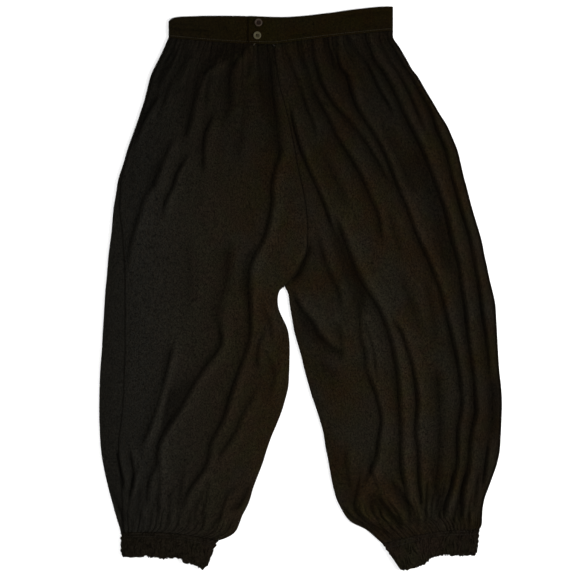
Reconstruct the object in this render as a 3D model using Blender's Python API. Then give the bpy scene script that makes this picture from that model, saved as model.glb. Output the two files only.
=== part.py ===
"""Knickerbockers laid flat, front up, with the waist toward +Y and the floor at z = 0.

Sizes and tables are in millimetres; left and right are those of someone looking down at the garment.
Each cloth piece is a grid drawn out to a wall; a surface gives the middle of the wall and the way across it.
"""

import math

import bmesh
import bpy
import numpy as np

MM = 0.001

# Walls and the spaces between pieces
CLOTH_WALL = 1.5
BAND_WALL = 1.6
CUFF_WALL = 2.0
SEAM_GAP = 0.3
END_GAP = 0.45

# Heights of the middle of a wall above the floor
BACK_LEVEL = CLOTH_WALL / 2
EDGE_LEVEL = 4.5
INNER_EDGE_LEVEL = 2.65
BAND_BACK_LEVEL = BAND_WALL / 2
BAND_FRONT_LEVEL = EDGE_LEVEL
TAB_LEVEL = 6.6
CUFF_BACK_LEVEL = CUFF_WALL / 2
CUFF_FRONT_LEVEL = 5.2

# How far in from an edge the cloth goes on rising
EDGE_REACH = 50.0
CROTCH = (-25.0, 3.0)

# Ways across a wall that lies flat
UPWARD = (0.0, 0.0, 1.0)
DOWNWARD = (0.0, 0.0, -1.0)

# Grid of each cloth piece, in faces
FRONT_COLUMNS = 38
BAND_ROWS = 3
CUFF_ROWS = 4

# One row for each section across the left leg, from the waist seam to the cuff seam:
# outer x, outer y, inner x, inner y, width of back panel turned over the edge, rise at mid section
LEFT_LEG = (
    (-211.0, 400.0, -43.0, 389.0, 3.5, -2.0),
    (-222.0, 375.0, -41.0, 366.0, 3.5, -1.0),
    (-240.0, 337.0, -36.0, 336.0, 3.5, 0.0),
    (-249.5, 300.0, -27.0, 299.0, 3.5, 0.0),
    (-262.0, 262.0, -18.0, 262.0, 3.5, 0.0),
    (-277.0, 220.0, -9.5, 221.0, 3.5, 0.0),
    (-291.0, 174.0, 0.0, 174.0, 4.0, 0.0),
    (-299.0, 126.0, 8.5, 126.0, 10.0, 0.0),
    (-302.5, 85.0, 11.0, 86.0, 19.0, 0.0),
    (-307.0, 50.0, 7.5, 50.0, 26.0, 0.0),
    (-309.7, 20.0, -9.0, 20.0, 30.0, 0.0),
    (-311.3, 3.0, -25.0, 3.0, 32.0, 0.0),
    (-312.5, -15.0, -36.0, -14.0, 33.0, 0.0),
    (-314.2, -45.0, -30.0, -45.0, 35.0, 0.0),
    (-316.0, -75.0, -18.5, -76.0, 36.5, 0.0),
    (-318.3, -110.0, -17.0, -110.0, 39.0, 0.0),
    (-321.0, -155.0, -19.0, -155.0, 40.0, 0.0),
    (-321.7, -200.0, -31.0, -200.0, 37.5, 0.0),
    (-320.0, -247.0, -50.0, -247.0, 30.0, 0.0),
    (-313.0, -290.0, -64.5, -290.0, 26.5, 0.0),
    (-302.5, -333.0, -79.5, -333.0, 20.0, 0.0),
    (-294.0, -367.0, -95.0, -369.0, 9.0, 2.0),
    (-289.5, -383.0, -108.0, -393.0, 5.0, 5.0),
    (-287.0, -391.0, -136.0, -404.0, 3.5, 6.0),
)

# The same for the right leg; the inner points are the left leg's as far as the crotch
RIGHT_LEG = (
    (148.0, 411.0, -43.0, 389.0, 3.5, 1.5),
    (154.0, 390.0, -41.0, 366.0, 3.5, 1.0),
    (181.0, 346.0, -36.0, 336.0, 3.5, 0.0),
    (207.0, 305.0, -27.0, 299.0, 3.5, 0.0),
    (231.0, 265.0, -18.0, 262.0, 3.5, 0.0),
    (250.0, 222.0, -9.5, 221.0, 3.5, 0.0),
    (262.5, 174.0, 0.0, 174.0, 3.5, 0.0),
    (275.0, 126.0, 8.5, 126.0, 3.5, 0.0),
    (287.0, 85.0, 11.0, 86.0, 3.5, 0.0),
    (295.0, 50.0, 7.5, 50.0, 3.5, 0.0),
    (301.0, 20.0, -9.0, 20.0, 3.5, 0.0),
    (304.5, 3.0, -25.0, 3.0, 3.5, 0.0),
    (309.5, -17.0, -19.0, -19.0, 3.5, 0.0),
    (312.8, -50.0, -13.5, -50.0, 3.5, 0.0),
    (315.0, -90.0, -4.5, -90.0, 3.5, 0.0),
    (318.0, -134.0, 7.0, -134.0, 3.5, 0.0),
    (322.0, -178.0, 19.5, -178.0, 3.5, 0.0),
    (321.0, -215.0, 32.0, -215.0, 3.5, 0.0),
    (319.0, -256.0, 40.5, -258.0, 3.5, 0.0),
    (312.0, -287.0, 46.5, -287.0, 3.5, 0.0),
    (300.0, -321.0, 53.0, -321.0, 3.5, 0.0),
    (291.3, -352.0, 64.0, -352.0, 3.5, 2.0),
    (289.0, -375.0, 90.0, -380.0, 3.5, 5.0),
    (286.0, -386.0, 131.0, -409.0, 3.5, 7.0),
)

# Grid rows of every leg panel: one between each two sections
LEG_ROWS = len(LEFT_LEG) - 1

# Height of the top layer above the floor, away from the edges, down the legs: y, height
LOFT = (
    (-450.0, 5.0),
    (-392.0, 5.4),
    (-372.0, 9.5),
    (-330.0, 12.5),
    (-250.0, 12.5),
    (-150.0, 11.5),
    (0.0, 10.5),
    (200.0, 9.5),
    (330.0, 8.0),
    (372.0, 6.5),
    (392.0, 4.5),
    (450.0, 4.5),
)

# One row for each large fold: depth, width on its left, width on its right, points along its valley
FOLDS = (
    (3.6, 7, 10, ((-201, 372), (-222, 330), (-249, 272), (-262, 237), (-270, 205))),
    (2.6, 7, 7, ((-188, 372), (-200, 340), (-216, 302))),
    (3.4, 9, 8, ((-160, 352), (-167, 320), (-176, 285), (-184, 255))),
    (2.2, 6, 7, ((-150, 345), (-149, 290), (-155, 240), (-157, 186))),
    (2.6, 6, 6, ((-82, 384), (-108, 376), (-135, 360), (-158, 338))),
    (2.2, 6, 7, ((-115, 350), (-113, 318), (-122, 280), (-130, 258))),
    (2.4, 6, 8, ((-180, 218), (-192, 190), (-206, 156), (-220, 125))),
    (2.8, 7, 9, ((-204, 240), (-222, 200), (-238, 164), (-254, 132), (-266, 90), (-272, 66))),
    (
        4.2,
        8,
        10,
        ((-50, 345), (-49, 295), (-38, 228), (-44, 167), (-48, 120), (-62, 78), (-82, 23), (-80, -38)),
    ),
    (
        3.8,
        9,
        9,
        ((-80, -38), (-91, -109), (-106, -148), (-122, -195), (-136, -231), (-154, -286), (-184, -336)),
    ),
    (
        4.2,
        8,
        12,
        ((-120, 25), (-127, -11), (-138, -52), (-132, -88), (-155, -130), (-182, -171), (-212, -215), (-232, -284)),
    ),
    (2.8, 7, 8, ((-200, -85), (-215, -130), (-228, -182), (-245, -224), (-256, -262))),
    (2.6, 7, 7, ((-78, -180), (-102, -220), (-125, -258), (-150, -304))),
    (3.2, 5, 6, ((-293, -255), (-288, -286), (-280, -314))),
    (3.2, 5, 6, ((-273, -256), (-266, -290), (-270, -325))),
    (2.6, 6, 7, ((-16, 290), (-6, 240), (10, 199), (27, 154), (48, 99), (62, 58))),
    (5.0, 11, 8, ((60, 70), (72, 40), (86, 8), (104, -28), (112, -44))),
    (3.2, 8, 8, ((92, -26), (95, -82), (103, -130), (119, -175), (124, -215), (119, -262))),
    (3.2, 7, 8, ((118, -34), (135, -66), (146, -115), (156, -185), (160, -250), (164, -305))),
    (2.6, 7, 7, ((147, -40), (165, -84), (178, -135), (184, -192), (183, -245), (190, -325))),
    (2.8, 7, 8, ((22, 362), (36, 326), (64, 279), (92, 247), (120, 205))),
    (2.4, 6, 7, ((16, 325), (35, 279), (69, 220), (92, 181), (112, 138), (119, 112))),
    (3.6, 8, 9, ((80, 318), (104, 261), (138, 199), (167, 126), (195, 62), (222, -9), (236, -57))),
    (3.6, 8, 8, ((236, -57), (248, -109), (253, -166), (252, -215), (249, -270), (246, -305))),
    (3.0, 8, 8, ((147, 310), (186, 236), (213, 167), (238, 90), (255, 21), (259, -25))),
    (3.0, 7, 7, ((259, -25), (270, -107), (275, -170), (270, -238), (264, -305))),
    (3.2, 8, 7, ((160, 330), (186, 278), (218, 250), (243, 176), (266, 101), (283, 10), (293, -70))),
    (3.2, 7, 5, ((293, -70), (302, -141), (305, -180), (299, -245), (293, -305))),
    (2.2, 7, 7, ((35, 58), (42, 28), (50, -2), (63, -42))),
    (2.2, 6, 7, ((12, 64), (4, 39), (-6, 23), (-18, 11))),
    (3.4, 8, 9, ((-12, -18), (5, -34), (19, -50), (34, -81), (50, -92), (68, -101))),
    (2.6, 6, 7, ((97, -298), (86, -330), (90, -352), (102, -372))),
    (2.8, 6, 7, ((122, -330), (134, -350), (146, -372), (147, -388))),
)

# One row for each station along a cuff's hem: share of the way from its outer end, hem x, hem y
CUFF_LEFT = (
    (0.0, -286.0, -422.0),
    (0.08, -277.0, -429.5),
    (0.27, -246.0, -427.5),
    (0.47, -218.0, -431.5),
    (0.64, -193.0, -432.5),
    (0.81, -169.0, -443.5),
    (0.91, -155.0, -447.5),
    (1.0, -145.5, -436.0),
)
CUFF_RIGHT = (
    (0.0, 281.5, -420.0),
    (0.08, 274.0, -427.0),
    (0.27, 243.0, -426.5),
    (0.46, 217.0, -428.5),
    (0.62, 199.0, -440.0),
    (0.78, 180.0, -448.0),
    (0.9, 161.0, -449.9),
    (1.0, 148.0, -434.0),
)

# Upper edge of the waistband: x, y
BAND_TOP = (
    (-211.0, 424.0),
    (-206.0, 429.5),
    (-195.0, 432.6),
    (-150.0, 434.5),
    (-100.0, 434.5),
    (-50.0, 432.5),
    (0.0, 434.0),
    (50.0, 439.5),
    (100.0, 446.5),
    (135.0, 449.4),
    (148.0, 449.0),
)
BAND_LEFT_X = -211.0
BAND_RIGHT_X = 148.0
TAB_END_X = -83.0
UNDER_END_X = -50.0

# Buttons: centre x, centre y
BUTTONS = {"button_upper": (-67.0, 423.0), "button_lower": (-69.0, 402.6)}
BUTTON_RADIUS = 6.2
BUTTON_DEPTH = 2.4
BUTTON_HOLE_RADIUS = 0.8
BUTTON_HOLE_OUT = 1.5

# Base colours, linear
COLOURS = {
    "cloth": ((0.012, 0.010, 0.007, 1.0), 0.92),
    "elastic_casing": ((0.013, 0.011, 0.008, 1.0), 0.95),
    "button": ((0.030, 0.026, 0.016, 1.0), 0.32),
}


def clear_scene():
    for obj in list(bpy.data.objects):
        bpy.data.objects.remove(obj, do_unlink=True)


def material(name):
    made = bpy.data.materials.get(name)
    if made is None:
        made = bpy.data.materials.new(name)
        made.use_nodes = True
        shader = made.node_tree.nodes["Principled BSDF"]
        shader.inputs["Base Color"].default_value = COLOURS[name][0]
        shader.inputs["Roughness"].default_value = COLOURS[name][1]
    return made


def collection(name):
    made = bpy.data.collections.new(name)
    bpy.context.scene.collection.children.link(made)
    return made


def along(table, share):
    """The columns of a table at a share of its length, on a smooth curve through its rows."""
    rows = np.asarray(table, float)
    place = min(max(share, 0.0), 1.0) * (len(rows) - 1)
    k = min(int(place), len(rows) - 2)
    t = place - k
    before = rows[max(k - 1, 0)]
    start = rows[k]
    end = rows[k + 1]
    after = rows[min(k + 2, len(rows) - 1)]
    slope_in = (end - before) / 2
    slope_out = (after - start) / 2
    square = t * t
    cube = square * t
    return (
        (2 * cube - 3 * square + 1) * start
        + (cube - 2 * square + t) * slope_in
        + (3 * square - 2 * cube) * end
        + (cube - square) * slope_out
    )


def read_off(table, place, column):
    """A column of a table at a value of its first column, on straight lines."""
    rows = np.asarray(table, float)
    return float(np.interp(place, rows[:, 0], rows[:, column]))


def rise(distance, reach):
    share = min(max(distance / reach, 0.0), 1.0)
    return share * (2.0 - share)


def fold_depth(x, y):
    """How far the folds sink the cloth here, with a low ridge beside each valley."""
    total = 0.0
    for depth, left, right, points in FOLDS:
        valley = np.asarray(points, float)
        start = valley[:-1]
        step = valley[1:] - start
        lengths = np.hypot(step[:, 0], step[:, 1])
        offset = np.array((x, y)) - start
        share = np.clip((offset * step).sum(1) / lengths**2, 0.0, 1.0)
        away = offset - step * share[:, None]
        distance = np.hypot(away[:, 0], away[:, 1])
        nearest = int(distance.argmin())
        if distance[nearest] > 45.0:
            continue
        before = lengths[:nearest].sum() + lengths[nearest] * share[nearest]
        travelled = before / lengths.sum()
        on_left = step[nearest, 0] * offset[nearest, 1] - step[nearest, 1] * offset[nearest, 0] < 0
        width = left if on_left else right
        ends = min(1.0, 0.35 + 5.0 * travelled, 0.35 + 5.0 * (1.0 - travelled))
        off = distance[nearest] / width
        total += depth * ends * (math.exp(-off * off) - 0.35 * math.exp(-((off - 2.0) ** 2)))
    return total


def gather_height(column, columns, y, top, bottom):
    """Gathers beside the two seams: one up and one down in turn, uneven in height and length."""
    if column <= 0 or column >= columns:
        return 0.0
    turn = 1.0 if column % 2 else -1.0
    pair = column // 2
    waist_run = 62.0 + 24.0 * math.sin(2.3 * pair + 0.7)
    cuff_run = 48.0 + 18.0 * math.sin(3.1 * pair + 1.9)
    strength = 0.85 + 0.3 * math.sin(4.7 * pair)
    waist = max(0.0, 1.0 - (top - y) / waist_run)
    cuff = max(0.0, 1.0 - (y - bottom) / cuff_run)
    return turn * strength * (0.8 * waist**1.3 + 1.15 * cuff**1.2)


def section_point(section, share):
    """A point on the line across a leg, at a share of the way from the outer edge to the inner edge."""
    outer_x, outer_y, inner_x, inner_y, _, bow = section
    x = outer_x + (inner_x - outer_x) * share
    y = outer_y + (inner_y - outer_y) * share + bow * 4.0 * share * (1.0 - share)
    return x, y


def top_level(section, x, y, gather=0.0):
    """Height of the middle of the upper layer above the floor, with a gather's height added to it."""
    outer_x, _, inner_x, inner_y, _, _ = section
    curl = (EDGE_LEVEL - BACK_LEVEL) / 2 + CLOTH_WALL / 2
    from_outer = abs(x - outer_x) - curl
    if inner_y > CROTCH[1]:
        from_inner = math.hypot(x - CROTCH[0], max(0.0, y - CROTCH[1]))
    else:
        from_inner = abs(x - inner_x)
    loft = read_off(LOFT, y, 1)
    level = INNER_EDGE_LEVEL + (EDGE_LEVEL - INNER_EDGE_LEVEL) * rise(from_inner, 22.0)
    level += (loft - EDGE_LEVEL) * rise(from_outer, EDGE_REACH) * rise(from_inner, EDGE_REACH)
    seam_fade = rise(min(from_inner, 400.0), 18.0) * min(1.0, max(0.0, (loft - 4.2) / 3.0))
    edge_fade = 0.25 + 0.75 * rise(from_outer, 14.0)
    level += (gather - fold_depth(x, y) * seam_fade) * edge_fade
    lowest = INNER_EDGE_LEVEL + 0.7 * rise(from_inner, 40.0)
    return lowest + 0.5 * math.log1p(math.exp((level - lowest) / 0.5)) - 0.02


def front_surface(leg):
    """Points of a front panel: u from the side seam to the inner edge, v from the waist to the cuff."""

    def point(u, v):
        section = along(leg, v)
        width = abs(section[2] - section[0])
        share_in = (section[4] + SEAM_GAP) / width
        share_out = 1.0 - 0.5 * SEAM_GAP / width
        share = share_in + (share_out - share_in) * u
        x, y = section_point(section, share)
        top = section_point(along(leg, 0.0), share)[1]
        bottom = section_point(along(leg, 1.0), share)[1]
        gather = gather_height(round(u * FRONT_COLUMNS), FRONT_COLUMNS, y, top, bottom)
        z = top_level(section, x, y, gather)
        if v == 0.0:
            y -= END_GAP / 2
        if v == 1.0:
            y += END_GAP / 2
        return (x, y, z), UPWARD

    return point


def back_surface(leg, turned, curled, flat):
    """Points of a back panel: u from the side seam on top, round the outer edge and across the floor."""
    columns = turned + curled + flat
    radius = (EDGE_LEVEL - BACK_LEVEL) / 2

    def point(u, v):
        section = along(leg, v)
        width = abs(section[2] - section[0])
        outward = math.copysign(1.0, section[0] - section[2])
        start = CLOTH_WALL / 2 + radius
        column = round(u * columns)
        if column <= turned:
            across = section[4] + (start - section[4]) * column / turned
            x, y = section_point(section, across / width)
            z = top_level(section, x, y)
            across_wall = UPWARD
        elif column < turned + curled:
            angle = math.pi * (column - turned) / curled
            x, y = section_point(section, (start - radius * math.sin(angle)) / width)
            z = BACK_LEVEL + radius * (1.0 + math.cos(angle))
            across_wall = (outward * math.sin(angle), 0.0, math.cos(angle))
        else:
            across = start + (width - start - 0.8) * (column - turned - curled) / flat
            x, y = section_point(section, across / width)
            ends = max(0.0, 1.0 - v / 0.07) + max(0.0, 1.0 - (1.0 - v) / 0.07)
            lift = (0.5 + 0.3 * math.sin(2.9 * column)) * rise(width - across - 20.0, 30.0)
            inside = turned + curled < column < columns
            z = BACK_LEVEL + (lift * ends if inside and column % 2 else 0.0)
            across_wall = DOWNWARD
        if v == 0.0:
            y -= END_GAP / 2
        if v == 1.0:
            y += END_GAP / 2
        return (x, y, z), across_wall

    return point


def band_path():
    """The strip's path seen from its end, from the tab round the right side and back.

    A row for each station: x, height, lowering of the upper edge, way across the wall."""
    radius = (BAND_FRONT_LEVEL - BAND_BACK_LEVEL) / 2
    middle = (BAND_FRONT_LEVEL + BAND_BACK_LEVEL) / 2
    right = BAND_RIGHT_X - radius - BAND_WALL / 2
    left = BAND_LEFT_X + radius + BAND_WALL / 2
    path = [
        (TAB_END_X, TAB_LEVEL - 0.1, 0.0, UPWARD),
        (-72.0, TAB_LEVEL, 0.0, UPWARD),
        (-60.0, TAB_LEVEL, 0.0, UPWARD),
        (-49.0, TAB_LEVEL - 0.1, 0.0, UPWARD),
        (-41.0, TAB_LEVEL - 0.9, 0.0, UPWARD),
        (-32.0, BAND_FRONT_LEVEL + 0.3, 0.0, UPWARD),
    ]
    path += [(x, BAND_FRONT_LEVEL, 0.0, UPWARD) for x in (-22.0, 0.0, 25.0, 50.0, 75.0, 100.0, 120.0, 135.0)]
    for k in range(7):
        angle = math.pi * k / 6
        way = (math.sin(angle), 0.0, math.cos(angle))
        path.append((right + radius * way[0], middle + radius * way[2], 0.0, way))
    path += [(x, BAND_BACK_LEVEL, 0.6, DOWNWARD) for x in (125.0, 95.0, 60.0, 25.0, -10.0, -45.0)]
    path += [(x, BAND_BACK_LEVEL, 0.6, DOWNWARD) for x in (-80.0, -115.0, -150.0, -180.0, -198.0)]
    for k in range(7):
        angle = math.pi * k / 6
        way = (-math.sin(angle), 0.0, -math.cos(angle))
        path.append((left + radius * way[0], middle + radius * way[2], 0.0, way))
    path += [(x, BAND_FRONT_LEVEL, 0.0, UPWARD) for x in (-196.0, -180.0, -160.0, -135.0, -110.0)]
    path += [(x, BAND_FRONT_LEVEL, 0.0, UPWARD) for x in (-90.0, -70.0, UNDER_END_X)]
    return path


def waist_seam(x):
    """Height up the garment of the seam between the waistband and the leg panels."""
    section = RIGHT_LEG[0] if x > RIGHT_LEG[0][2] else LEFT_LEG[0]
    return section_point(section, (x - section[0]) / (section[2] - section[0]))[1]


def band_surface(path):
    def point(u, v):
        x, z, inset, across_wall = path[round(u * (len(path) - 1))]
        low = waist_seam(x) + END_GAP / 2
        high = read_off(BAND_TOP, x, 1) - inset
        return (x, low + (high - low) * v, z), across_wall

    return point


def cuff_surface(seam, hem, front_columns, curled, back_columns):
    """Points of a cuff: u once round the flattened tube from its outer end, v from its top to its hem."""
    columns = front_columns + back_columns + 2 * curled
    radius = (CUFF_FRONT_LEVEL - CUFF_BACK_LEVEL) / 2
    length = abs(seam[2] - seam[0])
    outward = math.copysign(1.0, seam[0] - seam[2])
    inset = (CUFF_WALL / 2 + radius) / length

    def point(u, v):
        column = round(u * columns) % columns
        fullness = math.sin(math.pi * v) * 1.6
        if column <= front_columns:
            share = inset + (1.0 - 2.0 * inset) * column / front_columns
            turn = 1.0 if column % 2 else -1.0
            edge = 0.0 if column in (0, front_columns) else 1.0
            ruche = turn * edge * (0.75 + 0.25 * math.sin(2.7 * column))
            z = CUFF_FRONT_LEVEL + ruche + fullness * edge
            scallop = ruche * 0.9
            across_wall = UPWARD
        elif column < front_columns + curled:
            angle = math.pi * (column - front_columns) / curled
            share = 1.0 - inset + (radius / length) * math.sin(angle)
            z = CUFF_BACK_LEVEL + radius * (1.0 + math.cos(angle))
            scallop = 0.0
            across_wall = (-outward * math.sin(angle), 0.0, math.cos(angle))
        elif column <= front_columns + curled + back_columns:
            step = (column - front_columns - curled) / back_columns
            share = 1.0 - inset - (1.0 - 2.0 * inset) * step
            inside = 0.0 < step < 1.0
            z = CUFF_BACK_LEVEL + (0.7 if inside and column % 2 else 0.0)
            scallop = 0.8
            across_wall = DOWNWARD
        else:
            angle = math.pi * (column - front_columns - curled - back_columns) / curled
            share = inset - (radius / length) * math.sin(angle)
            z = CUFF_BACK_LEVEL + radius * (1.0 - math.cos(angle))
            scallop = 0.0
            across_wall = (outward * math.sin(angle), 0.0, -math.cos(angle))
        top_x, top_y = section_point(seam, share)
        top_y -= END_GAP / 2
        bottom_x = read_off(hem, share, 1)
        bottom_y = read_off(hem, share, 2) + scallop
        return (top_x + (bottom_x - top_x) * v, top_y + (bottom_y - top_y) * v, z), across_wall

    return point


def sheet(name, surface, columns, rows, wall, slot, home, joined=False):
    """A cloth piece: a grid, extruded into two layers, that are then laid on the two faces of a wall."""
    mesh = bpy.data.meshes.new(name)
    shell = bmesh.new()
    bmesh.ops.create_grid(shell, x_segments=columns, y_segments=rows, size=0.5)
    bmesh.ops.triangulate(shell, faces=shell.faces, quad_method="SHORT_EDGE")
    drawn = bmesh.ops.extrude_face_region(shell, geom=list(shell.faces))
    upper = [item for item in drawn["geom"] if isinstance(item, bmesh.types.BMVert)]
    bmesh.ops.translate(shell, verts=upper, vec=(0.0, 0.0, 1.0))
    if joined:
        ends = [face for face in shell.faces if all(abs(vert.co.x) > 0.499 for vert in face.verts)]
        bmesh.ops.delete(shell, geom=ends, context="FACES_ONLY")
    for vert in shell.verts:
        u = round((vert.co.x + 0.5) * columns) / columns
        v = round((0.5 - vert.co.y) * rows) / rows
        middle, across_wall = surface(u, v)
        out = wall * (vert.co.z - 0.5)
        vert.co = [(at + way * out) * MM for at, way in zip(middle, across_wall)]
    if joined:
        bmesh.ops.remove_doubles(shell, verts=shell.verts, dist=0.00001)
    bmesh.ops.recalc_face_normals(shell, faces=shell.faces)
    if shell.calc_volume(signed=True) < 0.0:
        bmesh.ops.reverse_faces(shell, faces=shell.faces)
    shell.to_mesh(mesh)
    shell.free()
    mesh.materials.append(material(slot))
    obj = bpy.data.objects.new(name, mesh)
    home.objects.link(obj)
    return obj


def button(name, centre, level, home, cutters):
    """A round button with a raised rim, a dished middle and four thread holes."""
    profile = (
        (0.0, 0.0),
        (BUTTON_RADIUS - 1.4, 0.0),
        (BUTTON_RADIUS - 0.3, 0.6),
        (BUTTON_RADIUS, 1.3),
        (BUTTON_RADIUS - 0.4, 2.1),
        (BUTTON_RADIUS - 1.1, BUTTON_DEPTH),
        (BUTTON_RADIUS - 2.0, 2.0),
        (BUTTON_RADIUS - 2.9, 1.45),
        (0.0, 1.35),
    )
    turned = bmesh.new()
    verts = [turned.verts.new((r * MM, 0.0, z * MM)) for r, z in profile]
    edges = [turned.edges.new(pair) for pair in zip(verts, verts[1:])]
    bmesh.ops.spin(
        turned,
        geom=verts + edges,
        cent=(0.0, 0.0, 0.0),
        axis=(0.0, 0.0, 1.0),
        angle=2.0 * math.pi,
        steps=24,
        use_duplicate=False,
    )
    bmesh.ops.remove_doubles(turned, verts=turned.verts, dist=0.00001)
    bmesh.ops.recalc_face_normals(turned, faces=turned.faces)
    bmesh.ops.translate(turned, verts=turned.verts, vec=(centre[0] * MM, centre[1] * MM, level * MM))
    mesh = bpy.data.meshes.new(name)
    turned.to_mesh(mesh)
    turned.free()
    mesh.materials.append(material("button"))
    obj = bpy.data.objects.new(name, mesh)
    home.objects.link(obj)
    drill = bmesh.new()
    for k in range(4):
        angle = math.pi * (0.25 + 0.5 * k)
        made = bmesh.ops.create_cone(
            drill,
            cap_ends=True,
            segments=12,
            radius1=BUTTON_HOLE_RADIUS * MM,
            radius2=BUTTON_HOLE_RADIUS * MM,
            depth=8.0 * MM,
        )
        where = (
            (centre[0] + BUTTON_HOLE_OUT * math.cos(angle)) * MM,
            (centre[1] + BUTTON_HOLE_OUT * math.sin(angle)) * MM,
            (level + 1.0) * MM,
        )
        bmesh.ops.translate(drill, verts=made["verts"], vec=where)
    cutter_mesh = bpy.data.meshes.new(name + "_holes")
    drill.to_mesh(cutter_mesh)
    drill.free()
    cutter = bpy.data.objects.new(name + "_holes", cutter_mesh)
    cutter.hide_render = True
    cutters.objects.link(cutter)
    cut = obj.modifiers.new("thread holes", "BOOLEAN")
    cut.operation = "DIFFERENCE"
    cut.solver = "EXACT"
    cut.object = cutter
    return obj


def centre_on_origin(pieces, cutters):
    """Moves everything so that the middle of the garment's underside is at the origin."""
    bpy.context.view_layer.update()
    graph = bpy.context.evaluated_depsgraph_get()
    low = np.full(3, np.inf)
    high = -low
    for obj in pieces:
        shape = obj.evaluated_get(graph).to_mesh()
        points = np.empty(len(shape.vertices) * 3)
        shape.vertices.foreach_get("co", points)
        points = points.reshape(-1, 3)
        low = np.minimum(low, points.min(0))
        high = np.maximum(high, points.max(0))
    shift = (-(low[0] + high[0]) / 2, -(low[1] + high[1]) / 2, -low[2])
    for obj in pieces + cutters:
        for vert in obj.data.vertices:
            vert.co = [value + moved for value, moved in zip(vert.co, shift)]


def main():
    clear_scene()
    garment = collection("knickerbockers")
    helpers = collection("cutters")
    pieces = []
    turned = {"left": 4, "right": 1}
    for side, leg in (("left", LEFT_LEG), ("right", RIGHT_LEG)):
        pieces.append(
            sheet(
                "front_" + side,
                front_surface(leg),
                FRONT_COLUMNS,
                LEG_ROWS,
                CLOTH_WALL,
                "cloth",
                garment,
            )
        )
        surface = back_surface(leg, turned[side], 4, 11)
        pieces.append(
            sheet("back_" + side, surface, turned[side] + 15, LEG_ROWS, CLOTH_WALL, "cloth", garment)
        )
    path = band_path()
    pieces.append(
        sheet("waistband", band_surface(path), len(path) - 1, BAND_ROWS, BAND_WALL, "cloth", garment)
    )
    for side, leg, hem in (("left", LEFT_LEG, CUFF_LEFT), ("right", RIGHT_LEG, CUFF_RIGHT)):
        pieces.append(
            sheet(
                "cuff_" + side,
                cuff_surface(leg[-1], hem, 30, 4, 12),
                50,
                CUFF_ROWS,
                CUFF_WALL,
                "elastic_casing",
                garment,
                joined=True,
            )
        )
    level = TAB_LEVEL + BAND_WALL / 2 + SEAM_GAP
    for name, centre in BUTTONS.items():
        pieces.append(button(name, centre, level, garment, helpers))
    centre_on_origin(pieces, list(helpers.objects))


main()
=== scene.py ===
"""Knickerbockers of crinkled black gauze, laid flat with the front up and the waist at the top.

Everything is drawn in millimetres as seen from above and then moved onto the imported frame.
Left and right are those of someone looking down at the garment.
"""

import math

import bmesh
import bpy
import numpy as np
from mathutils import Matrix, Vector


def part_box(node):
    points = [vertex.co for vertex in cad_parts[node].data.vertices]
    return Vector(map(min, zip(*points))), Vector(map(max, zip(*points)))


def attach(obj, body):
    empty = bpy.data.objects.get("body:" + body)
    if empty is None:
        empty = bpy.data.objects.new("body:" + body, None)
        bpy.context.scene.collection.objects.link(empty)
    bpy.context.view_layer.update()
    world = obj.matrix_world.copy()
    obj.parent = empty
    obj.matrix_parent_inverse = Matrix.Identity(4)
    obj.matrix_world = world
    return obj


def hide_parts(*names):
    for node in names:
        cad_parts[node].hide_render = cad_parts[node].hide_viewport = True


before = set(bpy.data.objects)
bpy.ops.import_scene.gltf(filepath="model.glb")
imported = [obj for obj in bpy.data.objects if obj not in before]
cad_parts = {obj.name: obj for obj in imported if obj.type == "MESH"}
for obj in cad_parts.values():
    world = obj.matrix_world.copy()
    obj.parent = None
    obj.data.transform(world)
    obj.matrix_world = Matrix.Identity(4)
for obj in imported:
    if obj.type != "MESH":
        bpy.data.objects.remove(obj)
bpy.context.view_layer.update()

MM = 0.001

# Walls of the fine cloth and heights of the middle of a wall above the floor
GAUZE = 1.0
BAND = 1.3
CASING = 1.4
BACK_LEVEL = 0.55
EDGE_LEVEL = 4.5
INNER_EDGE_LEVEL = 2.2
BAND_BACK_LEVEL = 0.7
BAND_FRONT_LEVEL = 4.5
TAB_LEVEL = 6.5
CASING_BACK_LEVEL = 0.8
CASING_FRONT_LEVEL = 5.4
SEAM_GAP = 0.3
END_GAP = 0.4
CROTCH = (-25.0, 3.0)

# How far in from an edge the cloth goes on rising, and the lowest that its top layer may lie
EDGE_REACH = 50.0
TOP_LOWEST = 2.1
FRONT_LOWEST = 1.9

# Faces across and down each piece of cloth
FRONT_GRID = (240, 198)
BAND_GRID = (460, 34)
CUFF_GRID = (420, 44)
BACK_CURL_COLUMNS = 12
BACK_FLOOR_COLUMNS = 64
BACK_ROWS = 220

# Width and length of the cloth that the weave follows
PANEL_WEAVE = (430.0, 830.0)
CUFF_WEAVE = (420.0, 40.0)
BAND_WEAVE_HEIGHT = 42.0

# A crease: spacing of the points on its curve, how far it reaches to its sides, the length over which
# its ends fade, and the depth at which it is fully dark
CREASE_STEP = 6.0
CREASE_REACH = 34.0
CREASE_FADE = 42.0
DEEP_CREASE = 4.2

# A cuff: its depth, the pitches of its pinches, its two rows of stitches, and the shares of the way
# round it that its front, each turn and its back take
CUFF_DEPTH = 38.0
WIDE_PINCH = 8.6
NARROW_PINCH = 3.9
CUFF_STITCH_ROWS = (2.2, 6.2)
CUFF_FRONT_SHARE = 0.62
CUFF_TURN_SHARE = 0.03
CUFF_BACK_SHARE = 0.32

# Buttons: centre x, centre y, turn of the thread holes, how far out the painted shade in the dish reaches
BUTTONS = {"button_upper": (-67.0, 423.0, 8.0, 4.3), "button_lower": (-69.0, 402.6, -6.0, 3.3)}

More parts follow.
